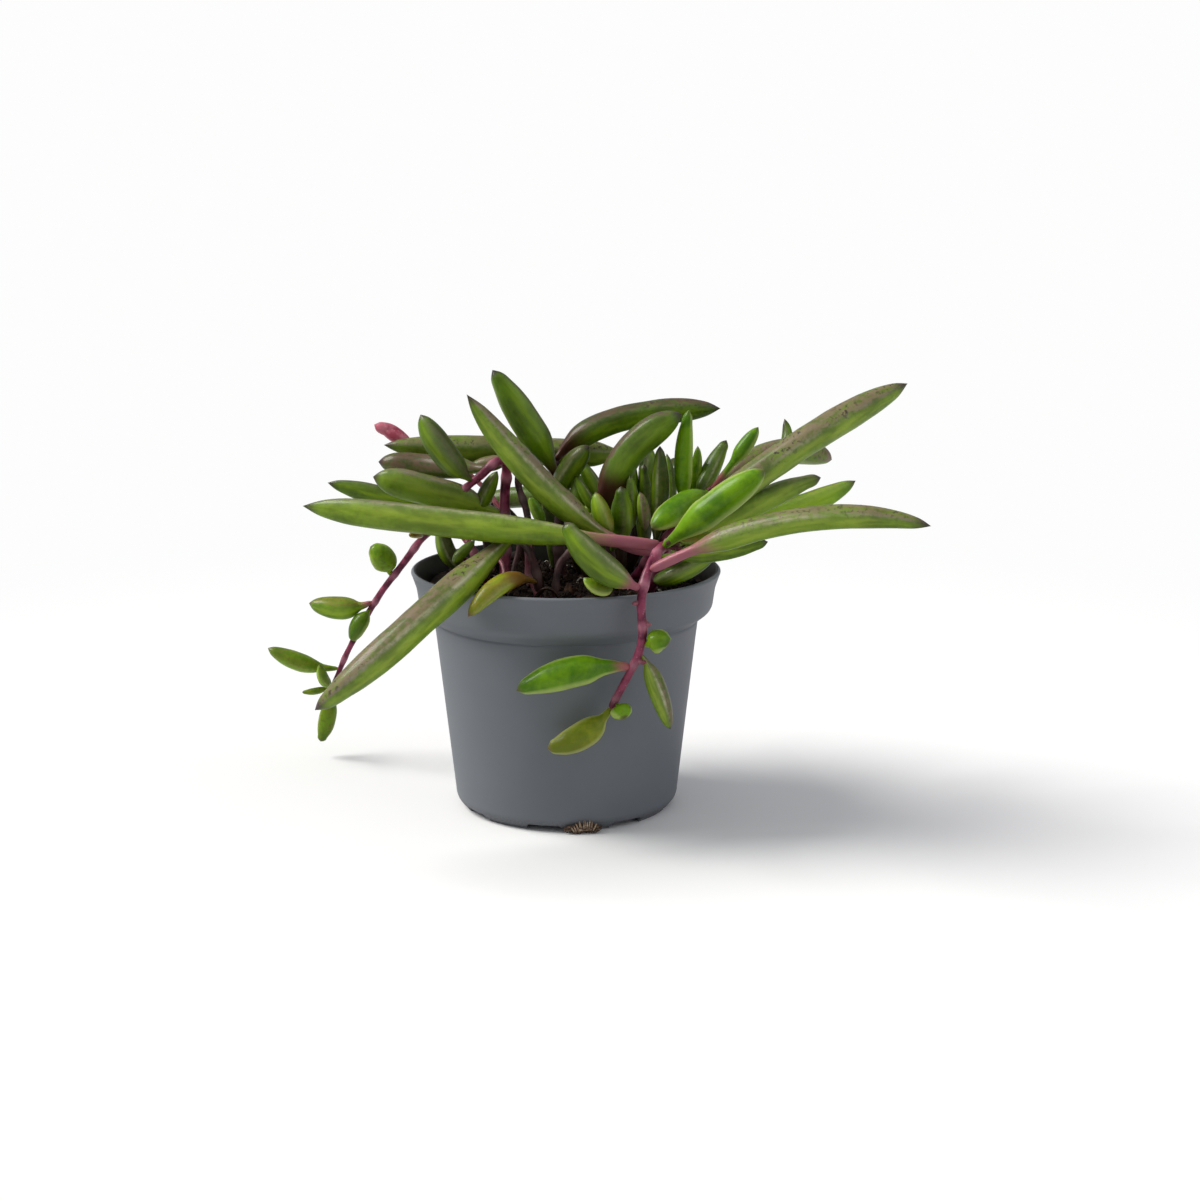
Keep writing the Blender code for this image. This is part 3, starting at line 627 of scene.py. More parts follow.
# Smooths the guide line and lays out the grid that is to be wrapped round it.
def startSweep(add, given, resolution):
    curve = add("GeometryNodeMeshToCurve", {0: given["Geometry"]})
    curve = add("GeometryNodeCurveSplineType", {0: curve}, spline_type="CATMULL_ROM")
    curve = add("GeometryNodeSetSplineResolution", {0: curve, "Resolution": resolution})
    grid = add("GeometryNodeMeshGrid", {"Size X": 1.0, "Size Y": 1.0, "Vertices Y": given["Rows"],
                                        "Vertices X": add(plus, [given["Around"], 1.0])})
    at = add(split, [add(position)]).outputs
    return curve, grid, at, add(times, [at[0], 2 * math.pi])


# Reads the guide line at a share of its length: what it holds there, its top and its side.
def alongGuide(add, curve, share):
    width = add("GeometryNodeInputNamedAttribute", {"Name": "halfWidth"}, data_type="FLOAT")
    upward = add("GeometryNodeInputNamedAttribute", {"Name": "upward"},
                 data_type="FLOAT_VECTOR")
    main = add("GeometryNodeSampleCurve", [curve, width, share],
               mode="FACTOR", data_type="FLOAT").outputs
    turned = add("GeometryNodeSampleCurve", [curve, upward, share],
                 mode="FACTOR", data_type="FLOAT_VECTOR").outputs
    side = add(unit, [add(cross, [main["Tangent"], turned["Value"]])])
    return main, add(cross, [side, main["Tangent"]]), side


# Swells and shrinks a section by a slow noise, and closes the wrapped grid.
def endSweep(tree, add, given, grid, main, spread, where, detail):
    wave = add(noise, {"Vector": where, "Detail": detail,
                       "Scale": add(over, [1.0, given["Ripple Size"]])})
    wave = add(timesPlus, [add(minus, [wave, 0.5]), add(times, [given["Ripple"], 4.0]), 1.0])
    spot = add(summed, [main["Position"], add(scaled, [spread, wave])])
    wrapped = add("GeometryNodeSetPosition", {0: grid, "Position": spot})
    closed = add("GeometryNodeMergeByDistance", {0: wrapped, "Distance": 0.002 * mm})
    return endTree(tree, add("GeometryNodeSetShadeSmooth", {0: closed}), given["Material"])


# Wraps a grid round a guide line: a rounded section with two margins and a keel, that follows
# the line's half width and turns its upper side to the line's upward direction.
def leafTree():
    shape, span = leafShape, leafShape["span"]
    inputs = {"Rows": ("Int", shape["rows"]), "Around": ("Int", shape["around"]),
              "Upper Height": ("Float", 0.9), "Lower Depth": ("Float", 1.0),
              "Ripple": ("Float", 0.0), "Ripple Size": ("Float", shape["rippleSize"] * mm),
              "Seed": ("Float", 0.0), "Material": ("Material", None)}
    inputs.update({fact: ("Float", 0.0) for fact in leafFacts})
    tree, add, given = startTree("fleshyLeafTree", inputs)
    # turn is nought at the upper side.
    curve, grid, at, turn = startSweep(add, given, shape["smoothing"])
    even = add(plus, [at[1], 0.5])
    crowd = add(sine, [add(times, [even, 2 * math.pi])])
    share = add(timesPlus, [crowd, -shape["crowding"], even])
    lift = add(cosine, [turn])
    aside = add(sine, [turn])
    travelled = add(times, [share, add("GeometryNodeCurveLength", {0: curve})])
    facts = {"along": share, "faceUp": lift, "faceSide": aside, "travelled": travelled}
    facts.update({fact: given[fact] for fact in leafFacts})
    kept = grid
    for label, value in facts.items():
        kept = add(store, {"Geometry": kept, "Name": label, "Value": value},
                   data_type="FLOAT", domain="POINT")
    main, top, side = alongGuide(add, curve, share)
    halfRound = add(times, [add(unsigned, [at[0]]), 2.0])
    section = add("ShaderNodeFloatCurve", {"Value": halfRound})
    line = section.mapping.curves[0]
    for spot, reach in shape["section"][1:-1]:
        line.points.new(spot, reach / span)
    for end in (0, -1):
        spot, reach = shape["section"][end]
        line.points[end].location = (spot, reach / span)
    section.mapping.update()
    reach = add(times, [add(times, [section, span]), main["Value"]])
    tall = add(mix, [add(above, [lift, 0.0]), given["Lower Depth"], given["Upper Height"]],
               data_type="FLOAT")
    rise = add(times, [add(times, [lift, tall]), reach])
    out = add(times, [aside, reach])
    spread = add(summed, [add(scaled, [top, rise]), add(scaled, [side, out])])
    where = add(summed, [main["Position"], spread])
    shifted = add(summed, [where, add(join, [given["Seed"], given["Seed"]])])
    return endSweep(tree, add, given, kept, main, spread, shifted, 1.0)


fleshyLeafTree = leafTree()

# How each leaf is turned, shaped and coloured. lean: how many degrees its upper face tips away
# from the front. side: -1 turns that face over. upper, lower and swell: factors of thickness
# above, thickness below and width. stalk: the share of the length still pink. skin: one other
# than its slot's. The rest run from 0 to 1.
leafDefaults = {"lean": None, "flush": 0.35, "margin": 0.3, "purple": 0.0, "fresh": 0.1,
                "stalk": -0.1, "tip": 0.8, "spots": 0.4, "upper": 0.92, "lower": 1.0,
                "swell": 1.03, "ripple": 0.035}
leafLooks = {
    "tall_rear_leaf": {"lean": 62, "flush": 0.6, "spots": 0.3, "purple": 1.0, "margin": 0.8,
                       "stalk": 0.1, "skin": "duskyLeafSkin"},
    "tall_front_leaf": {"lean": 22, "flush": 0.9, "spots": 0.8, "margin": 0.8, "stalk": 0.16},
    "long_left_leaf": {"lean": 52, "flush": 0.6, "spots": 0.6, "stalk": 0.15, "margin": 0.5},
    "rim_leaf": {"lean": 35, "flush": 0.3, "fresh": 0.3, "margin": 0.6, "stalk": 0.14},
    "rear_left_leaf": {"lean": 12, "flush": 0.6, "spots": 1.0},
    "rear_right_leaf": {"lean": 22, "flush": 0.9, "spots": 1.0, "stalk": 0.14,
                        "skin": "duskyLeafSkin"},
    "inner_leaf": {"lean": 15, "flush": 0.5, "margin": 0.6},
    "hooked_leaf": {"lean": 36, "flush": 1.0, "spots": 0.5, "purple": 0.6, "stalk": 0.3,
                    "skin": "duskyLeafSkin"},
    "short_dark_leaf": {"lean": -20, "flush": 0.1, "spots": 0.1},
    "upright_grey_leaf": {"lean": -25, "flush": 0.3, "margin": 0.8, "side": -1},
    "upright_bright_leaf": {"lean": -60, "fresh": 0.8, "tip": 0.5, "spots": 0.0, "flush": 0.0},
    "upright_short_leaf": {"lean": -15, "flush": 0.2, "margin": 0.7},
    "upright_pale_leaf": {"lean": 0, "flush": 0.4},
    "yellow_leaf": {"lean": -50, "fresh": 1.0, "spots": 0.0, "flush": 0.0, "stalk": 0.25},
    "crown_bright_leaf": {"lean": -70, "fresh": 0.9, "spots": 0.0, "flush": 0.0},
    "crown_folded_leaf": {"lean": -60, "fresh": 1.0, "spots": 0.0, "flush": 0.0},
    "upper_right_leaf": {"lean": 2, "flush": 0.85, "spots": 1.0, "margin": 0.5,
                         "stalk": 0.12},
    "lower_right_leaf": {"lean": 14, "flush": 0.75, "spots": 0.7, "margin": 0.7,
                         "stalk": 0.18, "swell": 0.93, "ripple": 0.01},
    "rear_drooping_leaf": {"lean": -30, "flush": 1.0, "spots": 0.5},
    "rear_small_leaf": {"lean": 20, "flush": 0.3, "margin": 0.9, "purple": 0.5},
    "side_dark_leaf": {"lean": 35, "flush": 0.4, "purple": 0.6},
    "side_bright_leaf": {"lean": 40, "fresh": 0.3, "flush": 0.4, "tip": 1.0},
    "low_side_leaf": {"lean": 40, "flush": 0.2},
    "rim_side_leaf": {"lean": 20, "flush": 0.3, "fresh": 0.3, "margin": 0.6},
    "lower_left_leaf": {"lean": 4, "flush": 0.9, "spots": 0.9, "margin": 0.9, "tip": 0.9},
    "yellow_rim_leaf": {"lean": -20, "fresh": 0.2, "flush": 0.3, "spots": 0.3, "stalk": 0.42,
                        "skin": "turningLeafSkin"},
    "left_blunt_leaf": {"lean": -25, "flush": 1.0, "margin": 0.6, "spots": 0.2, "purple": 0.7},
    "left_broad_leaf": {"lean": 48, "flush": 0.8, "margin": 0.6, "purple": 0.7},
    "left_low_leaf": {"lean": 50, "flush": 0.3},
    "left_upright_leaf": {"lean": 15, "flush": 0.4, "fresh": 0.3, "purple": 0.8},
    "inside_pot_leaf": {"lean": -10, "flush": 0.6, "margin": 1.0},
    "trail_bead_upper": {"lean": -65, "fresh": 0.6, "flush": 0.2},
    "trail_bead_lower": {"lean": -65, "fresh": 0.7, "flush": 0.2},
    "trail_leaf_upper": {"lean": 15, "flush": 0.6, "purple": 0.6, "stalk": 0.1},
    "hanging_bead_upper": {"lean": -60, "fresh": 0.9, "flush": 0.1},
    "hanging_bead_lower": {"lean": -60, "fresh": 0.9, "flush": 0.0},
    "hanging_leaf_upper": {"lean": -62, "fresh": 1.0, "spots": 0.0, "flush": 0.0,
                           "stalk": 0.08},
    "hanging_leaf_lower": {"lean": -75, "fresh": 0.8, "flush": 0.12, "spots": 0.1, "tip": 0.5,
                           "skin": "turningLeafSkin"},
    "hanging_folded_leaf": {"lean": 10, "flush": 0.8, "spots": 1.0, "margin": 1.0,
                            "skin": "flushedLeafSkin"},
    "back_long_leaf": {"swell": 0.98, "ripple": 0.02},
}


# Keeps a wished-for direction square to the line at each of its points.
def uppersAlong(points, wish):
    uppers = []
    for i in range(len(points)):
        ahead = points[min(i + 1, len(points) - 1)] - points[max(i - 1, 0)]
        ahead.normalize()
        uppers.append((wish - ahead * wish.dot(ahead)).normalized())
    return uppers


# Where a leaf's upper face looks: square to its length, upwards, and tipped back by its lean.
def faceOf(points, facts):
    if facts["lean"] is None:
        inward = Vector((-points[-1].x, -points[-1].y, 0.0))
        return axisUp + inward.normalized() * 0.5 + Vector((0.0, -0.3, 0.0))
    chord = points[-1] - points[0]
    square = Vector((-chord.z, 0.0, chord.x)).normalized()
    if square.z < 0:
        square = -square
    tip = math.radians(facts["lean"])
    return square * facts.get("side", 1) * math.cos(tip) + Vector((0, math.sin(tip), 0))


# One leaf from its middle line, base first, in metres.
def makeLeaf(name, points, halfWidths, material, looks, seed):
    facts = dict(leafDefaults)
    facts.update(looks)
    mesh = guideLine(name, points, [width * facts["swell"] for width in halfWidths],
                     uppersAlong(points, faceOf(points, facts)))
    values = {"Rows": facts.get("rows", leafShape["rows"]),
              "Around": facts.get("around", leafShape["around"]),
              "Upper Height": facts["upper"], "Lower Depth": facts["lower"],
              "Ripple": facts["ripple"], "Ripple Size": leafShape["rippleSize"] * mm,
              "Seed": seed * 0.37, "Material": material}
    values.update({fact: facts[fact] for fact in leafFacts})
    return grow(name, mesh, fleshyLeafTree, values)


stemNames = sorted(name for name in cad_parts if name.endswith("_stem"))
stemFoot = 43.9     # the level at which the stems leave the soil
stemRings = {}
for name in stemNames:
    rings = ringsOf(name)
    if abs(rings[0][0].z - stemFoot * mm) > abs(rings[-1][0].z - stemFoot * mm):
        rings.reverse()
    stemRings[name] = rings
stemMiddles = [middle for rings in stemRings.values() for middle, _ in rings]

leafNodes = sorted(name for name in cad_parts
                   if name.endswith("_leaf") or "bead" in name or "_tip_" in name
                   or name.startswith("hanging_") or name.startswith("trail_leaf"))
for seed, name in enumerate(leafNodes):
    rings = ringsOf(name)
    near = [min((end - middle).length for middle in stemMiddles)
            for end in (rings[0][0], rings[-1][0])]
    if near[1] < near[0]:
        rings.reverse()
    points = [middle for middle, _ in rings]
    widths = [radius for _, radius in rings]
    back = (points[0] - points[1]).normalized() * leafShape["sink"] * mm
    points = [points[0] + back] + points
    widths = [0.0, widths[1] * 0.8] + widths[1:]
    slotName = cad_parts[name].data.materials[0].name.split(".")[0]
    looks = leafLooks.get(name, {})
    skin = looks.get("skin", skinOfSlot[slotName])
    piece = makeLeaf(name.replace("_", "-") + "-blade", points, widths, leafSkins[skin],
                     looks, seed)
    place(piece, slotName, name)


print("small leaves of the crown")
curled = {"upper": 0.4, "lower": 0.5, "ripple": 0.1}    # thin and crumpled
# Base, bend, tip, width, skin and looks of leaves too small or hidden to be solids of their own.
crownLeaves = {
    "olive": ((8.7, -12, 55.5), (7.0, -13, 59.5), (5.7, -12, 63.6), 3.7, "youngLeafSkin",
              {"lean": 10, "flush": 0.6, "fresh": 0.4, "tip": 1.0}),
    "pinkish": ((15.1, -8, 55.5), (15.2, -8.5, 59.5), (14.1, -8, 63.0), 2.6, "flushedLeafSkin",
                {"lean": -20, "flush": 1.0}),
    "shadow": ((23.7, -1, 60.0), (25.3, -1, 66.0), (25.3, -1, 70.8), 2.4, "youngLeafSkin",
               {"lean": -30, "flush": 0.2}),
    "pale": ((20.3, -21.5, 57.0), (24.0, -23.5, 56.2), (28.2, -22.5, 57.3), 2.9,
             "youngLeafSkin", {"lean": -30, "flush": 0.9, "margin": 1.0, "tip": 0.3}),
    "gap": ((7.6, 2, 57.0), (6.0, 4, 62.0), (2.6, 6, 67.0), 3.6, "matureLeafSkin",
            {"lean": 40, "flush": 0.2}),
    "gapPale": ((6.0, -2, 58.0), (4.0, -2, 61.0), (1.8, -1, 65.0), 2.4, "matureLeafSkin",
                {"lean": 40, "margin": 1.0}),
    "nook": ((-4.0, -8, 56.5), (-5.2, -8, 59.5), (-6.8, -8, 62.0), 2.4, "youngLeafSkin",
             {"lean": -20, "flush": 0.1}),
    "rimRound": ((8.8, -27.0, 48.6), (6.5, -29.6, 47.9), (3.6, -28.6, 50.6), 2.8,
                 "youngLeafSkin", {"lean": -40, "fresh": 0.9, "tip": 0.3}),
    "nookDark": ((-20.9, -14, 50.5), (-19.5, -13, 52.3), (-17.0, -10, 54.0), 2.2,
                 "matureLeafSkin", {"lean": 20}),
    "lilac": ((-14.5, 8, 65.6), (-18.0, 8.6, 65.4), (-21.0, 8.6, 64.6), 2.6,
              "flushedLeafSkin", {"lean": -40, "flush": 1.0}),
    "lilacTwo": ((-11.4, 7, 66.8), (-15.5, 7.6, 66.2), (-19.5, 8.0, 65.2), 3.2,
                 "flushedLeafSkin", {"lean": -40, "flush": 1.0, "purple": 1.0}),
    "oliveBack": ((-16.9, 2.6, 57.6), (-15.8, 2.0, 61.5), (-13.2, 1.2, 65.6), 3.3,
                  "matureLeafSkin", {"lean": 0, "flush": 0.7, "margin": 0.9}),
    "lowFill": ((1.4, 0, 57.0), (2.8, 0, 61.0), (2.0, 1, 65.4), 3.4, "matureLeafSkin",
                {"lean": 20, "flush": 0.3}),
    "rightFill": ((15.0, 6, 60.0), (16.4, 8, 65.0), (15.8, 9, 69.8), 3.8, "matureLeafSkin",
                  {"lean": 0, "margin": 0.6}),
    "behindHook": ((10.5, -2, 57.0), (12.6, 1, 62.0), (12.8, 2, 67.5), 3.2, "matureLeafSkin",
                   {"lean": 0}),
    "deepLeft": ((12.0, -6, 55.0), (12.9, -7, 60.0), (12.2, -7, 66.0), 3.0, "matureLeafSkin",
                 {"lean": -10}),
    "deepRight": ((20.0, 2, 56.0), (20.8, 4, 62.0), (19.6, 5, 68.5), 2.8, "matureLeafSkin",
                  {"lean": 10}),
    "greyBit": ((17.0, 6, 62.0), (20.0, 8, 66.5), (22.0, 9, 66.9), 1.8, "flushedLeafSkin",
                {"lean": -10, "flush": 1.0}),
    "backTuftLeft": ((0.5, 24, 52.5), (-5.0, 22, 60.0), (-9.5, 24, 61.5), 3.4,
                     "matureLeafSkin", {}),
    "backTuftRight": ((2.5, 22, 52.5), (9.0, 27, 60.0), (14.0, 28, 60.5), 3.4,
                      "youngLeafSkin", {}),
    "backShort": ((3.0, 20, 50.5), (2.0, 12, 58.0), (-1.0, 14, 60.5), 3.0, "youngLeafSkin", {}),
    "nodeLeft": ((-20.0, 11, 50.5), (-24.5, 8, 57.5), (-28.0, 10, 58.5), 2.8,
                 "matureLeafSkin", {}),
    "nodeHigh": ((-28.0, 21.5, 50.5), (-29.0, 22.0, 56.0), (-33.5, 22.5, 57.0), 2.8,
                 "youngLeafSkin", {}),
    "stubLeft": ((-29.6, 20.4, 49.6), (-30.6, 17.5, 50.6), (-32.0, 16.0, 50.3), 1.8,
                 "turningLeafSkin", {"lean": -40, "flush": 0.6}),
    # The depth leaves fill the low back of the crown; the withered ones among them are near black,
    # painted shade standing in for the shadow there.
    "depthOne": ((-7.0, 11, 43.0), (-8.0, 13, 50.0), (-12.5, 13, 57.0), 3.2,
                 "witheredLeafSkin", {}),
    "depthTwo": ((-2.5, 13, 43.0), (-1.5, 15, 51.0), (-5.0, 15, 58.5), 3.4,
                 "matureLeafSkin", {}),
    "depthThree": ((3.0, 9, 43.0), (1.8, 10, 50.0), (0.6, 9, 57.0), 3.0,
                   "witheredLeafSkin", {}),
    "depthFour": ((6.0, 16, 43.0), (8.5, 19, 51.0), (5.0, 18, 58.0), 3.4,
                  "matureLeafSkin", {}),
    "depthFive": ((12.0, 12, 43.0), (14.2, 13, 51.0), (16.0, 12, 58.0), 3.4,
                  "witheredLeafSkin", {}),
    "depthSix": ((16.0, 9, 43.0), (19.5, 9, 50.0), (21.5, 9, 58.0), 3.4,
                 "matureLeafSkin", {}),
    "depthSeven": ((-13.5, 13, 43.0), (-17.0, 14, 50.0), (-15.0, 15, 57.5), 3.0,
                   "witheredLeafSkin", {}),
    "depthEight": ((4.6, -1, 43.0), (3.5, -2, 50.0), (4.5, -1, 56.5), 2.6,
                   "witheredLeafSkin", {"lean": 20}),
    "depthNine": ((10.0, 6, 43.0), (11.5, 6, 50.0), (9.5, 7, 57.5), 3.0,
                  "witheredLeafSkin", {"lean": 20}),
    "curlOne": ((-5.8, -21.5, 43.6), (-3.4, -23.5, 50.8), (-0.6, -22.4, 44.6), 1.5,
                "witheredLeafSkin", curled),
    "curlTwo": ((-14.2, -17.4, 43.6), (-12.6, -19.0, 49.0), (-10.2, -18.4, 44.4), 1.4,
                "witheredLeafSkin", curled),
    "curlThree": ((1.6, -22.6, 43.8), (4.2, -24.4, 47.6), (7.4, -23.0, 44.6), 1.6,
                  "witheredLeafSkin", curled),
    "curlFour": ((8.0, 20, 43.6), (10.0, 22, 48.0), (13.0, 19, 44.6), 1.8,
                 "witheredLeafSkin", curled),
    "curlFive": ((-8.0, 18, 43.6), (-10.0, 20, 47.6), (-13.0, 16, 44.4), 1.8,
                 "witheredLeafSkin", curled),
}


# Full width from the share of the length at "full" on, narrowing again from "taper" on.
bladeShape = {"points": 13, "full": 0.38, "taper": 0.45, "taperPower": 2.2, "fullness": 0.7,
              "stalk": 0.14, "rows": 30, "around": 18}


# A blade from base to tip in millimetres, bent towards a third point, spindle-shaped with a
# short stalk.
def bladeLine(base, bend, tip, width):
    base, bend, tip, b = Vector(base), Vector(bend), Vector(tip), bladeShape
    points, halfWidths = [], []
    for i in range(b["points"]):
        t = i / (b["points"] - 1)
        points.append((base * (1 - t) ** 2 + bend * 2 * t * (1 - t) + tip * t * t) * mm)
        full = math.sin(0.5 * math.pi * min(t / b["full"], 1.0)) ** b["fullness"]
        past = max(0.0, (t - b["taper"]) / (1 - b["taper"]))
        taper = (1 - past ** b["taperPower"]) ** b["fullness"]
        halfWidths.append(0.5 * width * mm * full * taper)
    halfWidths[0] = 0.0
    halfWidths[1] = max(halfWidths[1], b["stalk"] * width * mm)
    return points, halfWidths


for seed, (label, (base, bend, tip, width, skin, looks)) in enumerate(crownLeaves.items()):
    looks = dict(looks, rows=bladeShape["rows"], around=bladeShape["around"])
    points, halfWidths = bladeLine(base, bend, tip, width)
    place(makeLeaf("crown-" + label, points, halfWidths, leafSkins[skin], looks, 70 + seed),
          slotOfSkin[skin])


print("stems")
stemShape = {"around": 16, "rowSpacing": 0.45, "nodeSpacing": 7.5, "nodeWidth": 0.9,
             "nodeHeight": 0.2, "ripple": 0.1, "rippleSize": 3.0, "smoothing": 10,
             "rooted": 1.6,      # how far a stem runs on below the soil's surface
             "face": (0.31, -0.83, 0.47)}    # where the side away from its seam looks


# A tube along a guide line, with swollen rings at even distances and an uneven bark.
def stemTree():
    tree, add, given = startTree("jointedStemTree", {
        "Rows": ("Int", 60), "Around": ("Int", stemShape["around"]),
        "Node Spacing": ("Float", stemShape["nodeSpacing"] * mm),
        "Node Width": ("Float", stemShape["nodeWidth"] * mm),
        "Node Height": ("Float", stemShape["nodeHeight"]),
        "Ripple": ("Float", stemShape["ripple"]),
        "Ripple Size": ("Float", stemShape["rippleSize"] * mm), "Material": ("Material", None)})
    curve, grid, at, turn = startSweep(add, given, stemShape["smoothing"])
    share = add(plus, [at[1], 0.5])
    travelled = add(times, [share, add("GeometryNodeCurveLength", {0: curve})])
    off = add(pingPong, [travelled, add(times, [given["Node Spacing"], 0.5])])
    off = add(power, [add(over, [off, given["Node Width"]]), 2.0])
    ring = add(exponent, [add(times, [off, -1.0])])
    kept = add(store, {"Geometry": grid, "Name": "ring", "Value": ring},
               data_type="FLOAT", domain="POINT")
    main, top, side = alongGuide(add, curve, share)
    spread = add(summed, [add(scaled, [top, add(cosine, [turn])]),
                          add(scaled, [side, add(sine, [turn])])])
    swollen = add(timesPlus, [ring, given["Node Height"], 1.0])
    spread = add(scaled, [spread, add(times, [main["Value"], swollen])])
    where = add(summed, [main["Position"], spread])
    return endSweep(tree, add, given, kept, main, spread, where, 2.0)


jointedStemTree = stemTree()


# One stem from its middle line, base first, in metres. Changes override the stem settings.
def makeStem(name, points, radii, material, **changes):
    shape = dict(stemShape, **changes)
    mesh = guideLine(name, points, radii, uppersAlong(points, Vector(shape["face"])))
    length = sum((b - a).length for a, b in zip(points, points[1:]))
    return grow(name, mesh, jointedStemTree, {
        "Rows": max(10, round(length / (shape["rowSpacing"] * mm))), "Around": shape["around"],
        "Node Spacing": shape["nodeSpacing"] * mm, "Node Width": shape["nodeWidth"] * mm,
        "Node Height": shape["nodeHeight"], "Ripple": shape["ripple"],
        "Ripple Size": shape["rippleSize"] * mm, "Material": material})


for name in stemNames:
    rings = stemRings[name]
    points = [middle for middle, _ in rings]
    radii = [radius for _, radius in rings]
    points[0] = points[0] - axisUp * stemShape["rooted"] * mm
    radii[0] = radii[1]
    points = [points[0] - axisUp * 0.2 * mm] + points
    radii = [0.0] + radii
    old = name in ("centre_stem", "middle_stem", "rear_stem", "fore_stem", "back_stem")
    piece = makeStem(name.replace("_", "-") + "-bark", points, radii,
                     oldStem if old else youngStem)
    place(piece, "stem", name)

# Thin stalks, scars and dead stalks: points in millimetres, thickness, and bark.
sideStalks = {
    "dryStalk": (((-6.8, -15.6, 55.2), (-6.8, -16, 52.6), (-6.8, -17, 49.1), (-6.2, -18, 47.7),
                  (-5.2, -19.5, 46.0), (-4.6, -20, 44.0)), 1.3, petiolePink),
    "mauveStalk": (((3.0, -10, 58.0), (1.4, -14, 53.2), (-0.8, -16, 50.8), (-1.6, -18, 47.6),
                    (-1.8, -18.5, 43.0)), 1.5, oldStem),
    "darkArch": (((-8.8, 5, 66.5), (-9.2, 3, 62.5), (-7.6, 0, 58.0), (-6.6, -4, 52.0),
                  (-7.0, -6, 43.5)), 1.5, oldStem),
    "greyStalk": (((-8.2, -8, 54.0), (-8.9, -8.6, 51.5), (-9.9, -10, 47.3), (-10.0, -10, 43.5)),
                  1.1, oldStem),
    "archedScar": (((-14.6, -9.6, 50.2), (-13.4, -10.4, 50.9), (-12.2, -12, 50.5),
                    (-11.4, -14, 49.0), (-11.3, -16, 46.6), (-11.3, -16.5, 43.5)), 0.9,
                   petiolePink),
    "leftRunner": (((-15.0, -4, 43.5), (-16.0, -6, 47.0), (-18.5, -9, 50.0), (-21.0, -12, 51.5)),
                   0.9, youngStem),
    "innerRunner": (((4.0, 2, 43.5), (4.5, 0, 50.0), (5.5, -4, 55.0), (7.5, -9, 57.0)), 1.2,
                    oldStem),
    "rightRunner": (((18.0, 4, 43.5), (18.5, 3, 50.0), (19.5, 1, 56.0), (20.0, 0, 60.0)), 1.1,
                    oldStem),
    "crownTwig": (((20.5, -21.0, 54.2), (22.0, -21.5, 55.2), (23.6, -21.2, 56.4)), 0.5,
                  oldStem),
    "scarOne": (((18.6, -20.6, 55.6), (19.6, -22.3, 56.5), (20.2, -22.8, 57.2)), 1.1,
                petiolePink),
    "scarTwo": (((19.0, -20.6, 54.8), (20.6, -22.2, 54.8), (21.6, -22.6, 54.6)), 1.0,
                petiolePink),
    "scarThree": (((18.3, -21.0, 55.0), (18.9, -23.0, 55.9), (19.2, -23.8, 56.3)), 0.8,
                  dryFibre),
    "scarFour": (((18.9, -20.8, 55.0), (20.2, -22.8, 55.6), (21.3, -23.2, 56.0)), 0.8,
                 dryFibre),
    "scarFive": (((14.2, -29.6, 46.6), (13.0, -30.4, 46.2), (12.5, -30.7, 46.6)), 0.9,
                 petiolePink),
    "scarSix": (((14.1, -29.8, 43.0), (15.2, -30.6, 42.4), (15.6, -30.8, 42.8)), 0.9,
                petiolePink),
    "scarSeven": (((13.2, -29.3, 35.6), (14.4, -29.9, 35.2), (14.9, -30.0, 35.6)), 0.9,
                  petiolePink),
}
for label, (points, thickness, bark) in sideStalks.items():
    points = [Vector(point) * mm for point in points]
    ends = [points[0].lerp(points[1], 0.15), points[-1].lerp(points[-2], 0.15)]
    points = [points[0], ends[0]] + points[1:-1] + [ends[1], points[-1]]
    middle = [0.5 * thickness * mm * (1.0 - 0.06 * i) for i in range(len(points) - 2)]
    piece = makeStem("stalk-" + label, points, [0.0] + middle + [0.0], bark,
                     around=10, rowSpacing=0.4)
    place(piece, "stem")


print("bud")
bud = {"lobeSteps": (0.0, 0.15, 0.35, 0.55, 0.75, 0.9, 1.0),
       "lobeWidths": (0.0, 0.7, 1.15, 1.4, 1.3, 0.95, 0.0), "apart": 0.68}
rings = ringsOf("flower_bud")
if rings[0][0].z > rings[-1][0].z:
    rings.reverse()
stalk = rings[:-4]
piece = makeStem("bud-stalk", [m for m, _ in stalk], [0.0] + [r for _, r in stalk[1:-1]] + [0.0],
                 budPetal, nodeHeight=0.0)
place(piece, "bud", "flower_bud")
head, neck = rings[-1][0], rings[-5][0]
for label, aside, share in (("left", -1.0, 1.0), ("right", 1.0, 0.8)):
    shift = Vector((0.35, -0.4, -0.6)).normalized() * aside * bud["apart"] * mm
    points = [neck + (head - neck) * t * share + shift * math.sin(math.pi * min(1, t * 1.2))
              for t in bud["lobeSteps"]]
    piece = makeLeaf("bud-lobe-" + label, points, [w * mm for w in bud["lobeWidths"]],
                     budPetal, {"rows": 24, "around": 16}, 3)
    place(piece, "bud")


print("soil")
soil = {
    "top": 43.2, "crown": 0.5, "rim": 27.1, "rings": 40, "columns": 96,
    "lumps": 90, "lumpReach": 26, "lumpWidth": (2, 5), "lumpHeight": (-0.5, 0.7),
    # Radius and height of the rings down the pot's inside, and the level of the bottom.
    "sides": ((27.1, 40.4), (24.3, 37.7), (21.2, 5.2), (17.4, 2.7)), "bottom": 2.7,
    "scatter": 25.6,
    # How many grains of each kind, their smallest and largest radius, stretch and seed.
    "grains": {"crumb": (1900, (0.3, 1.0), 1.3, 11), "perlite": (46, (0.4, 0.9), 1.1, 23),
               "chip": (70, (0.6, 1.4), 2.0, 37)},
}
grainMatter = {"crumb": peat, "perlite": perliteGrain, "chip": barkChip}


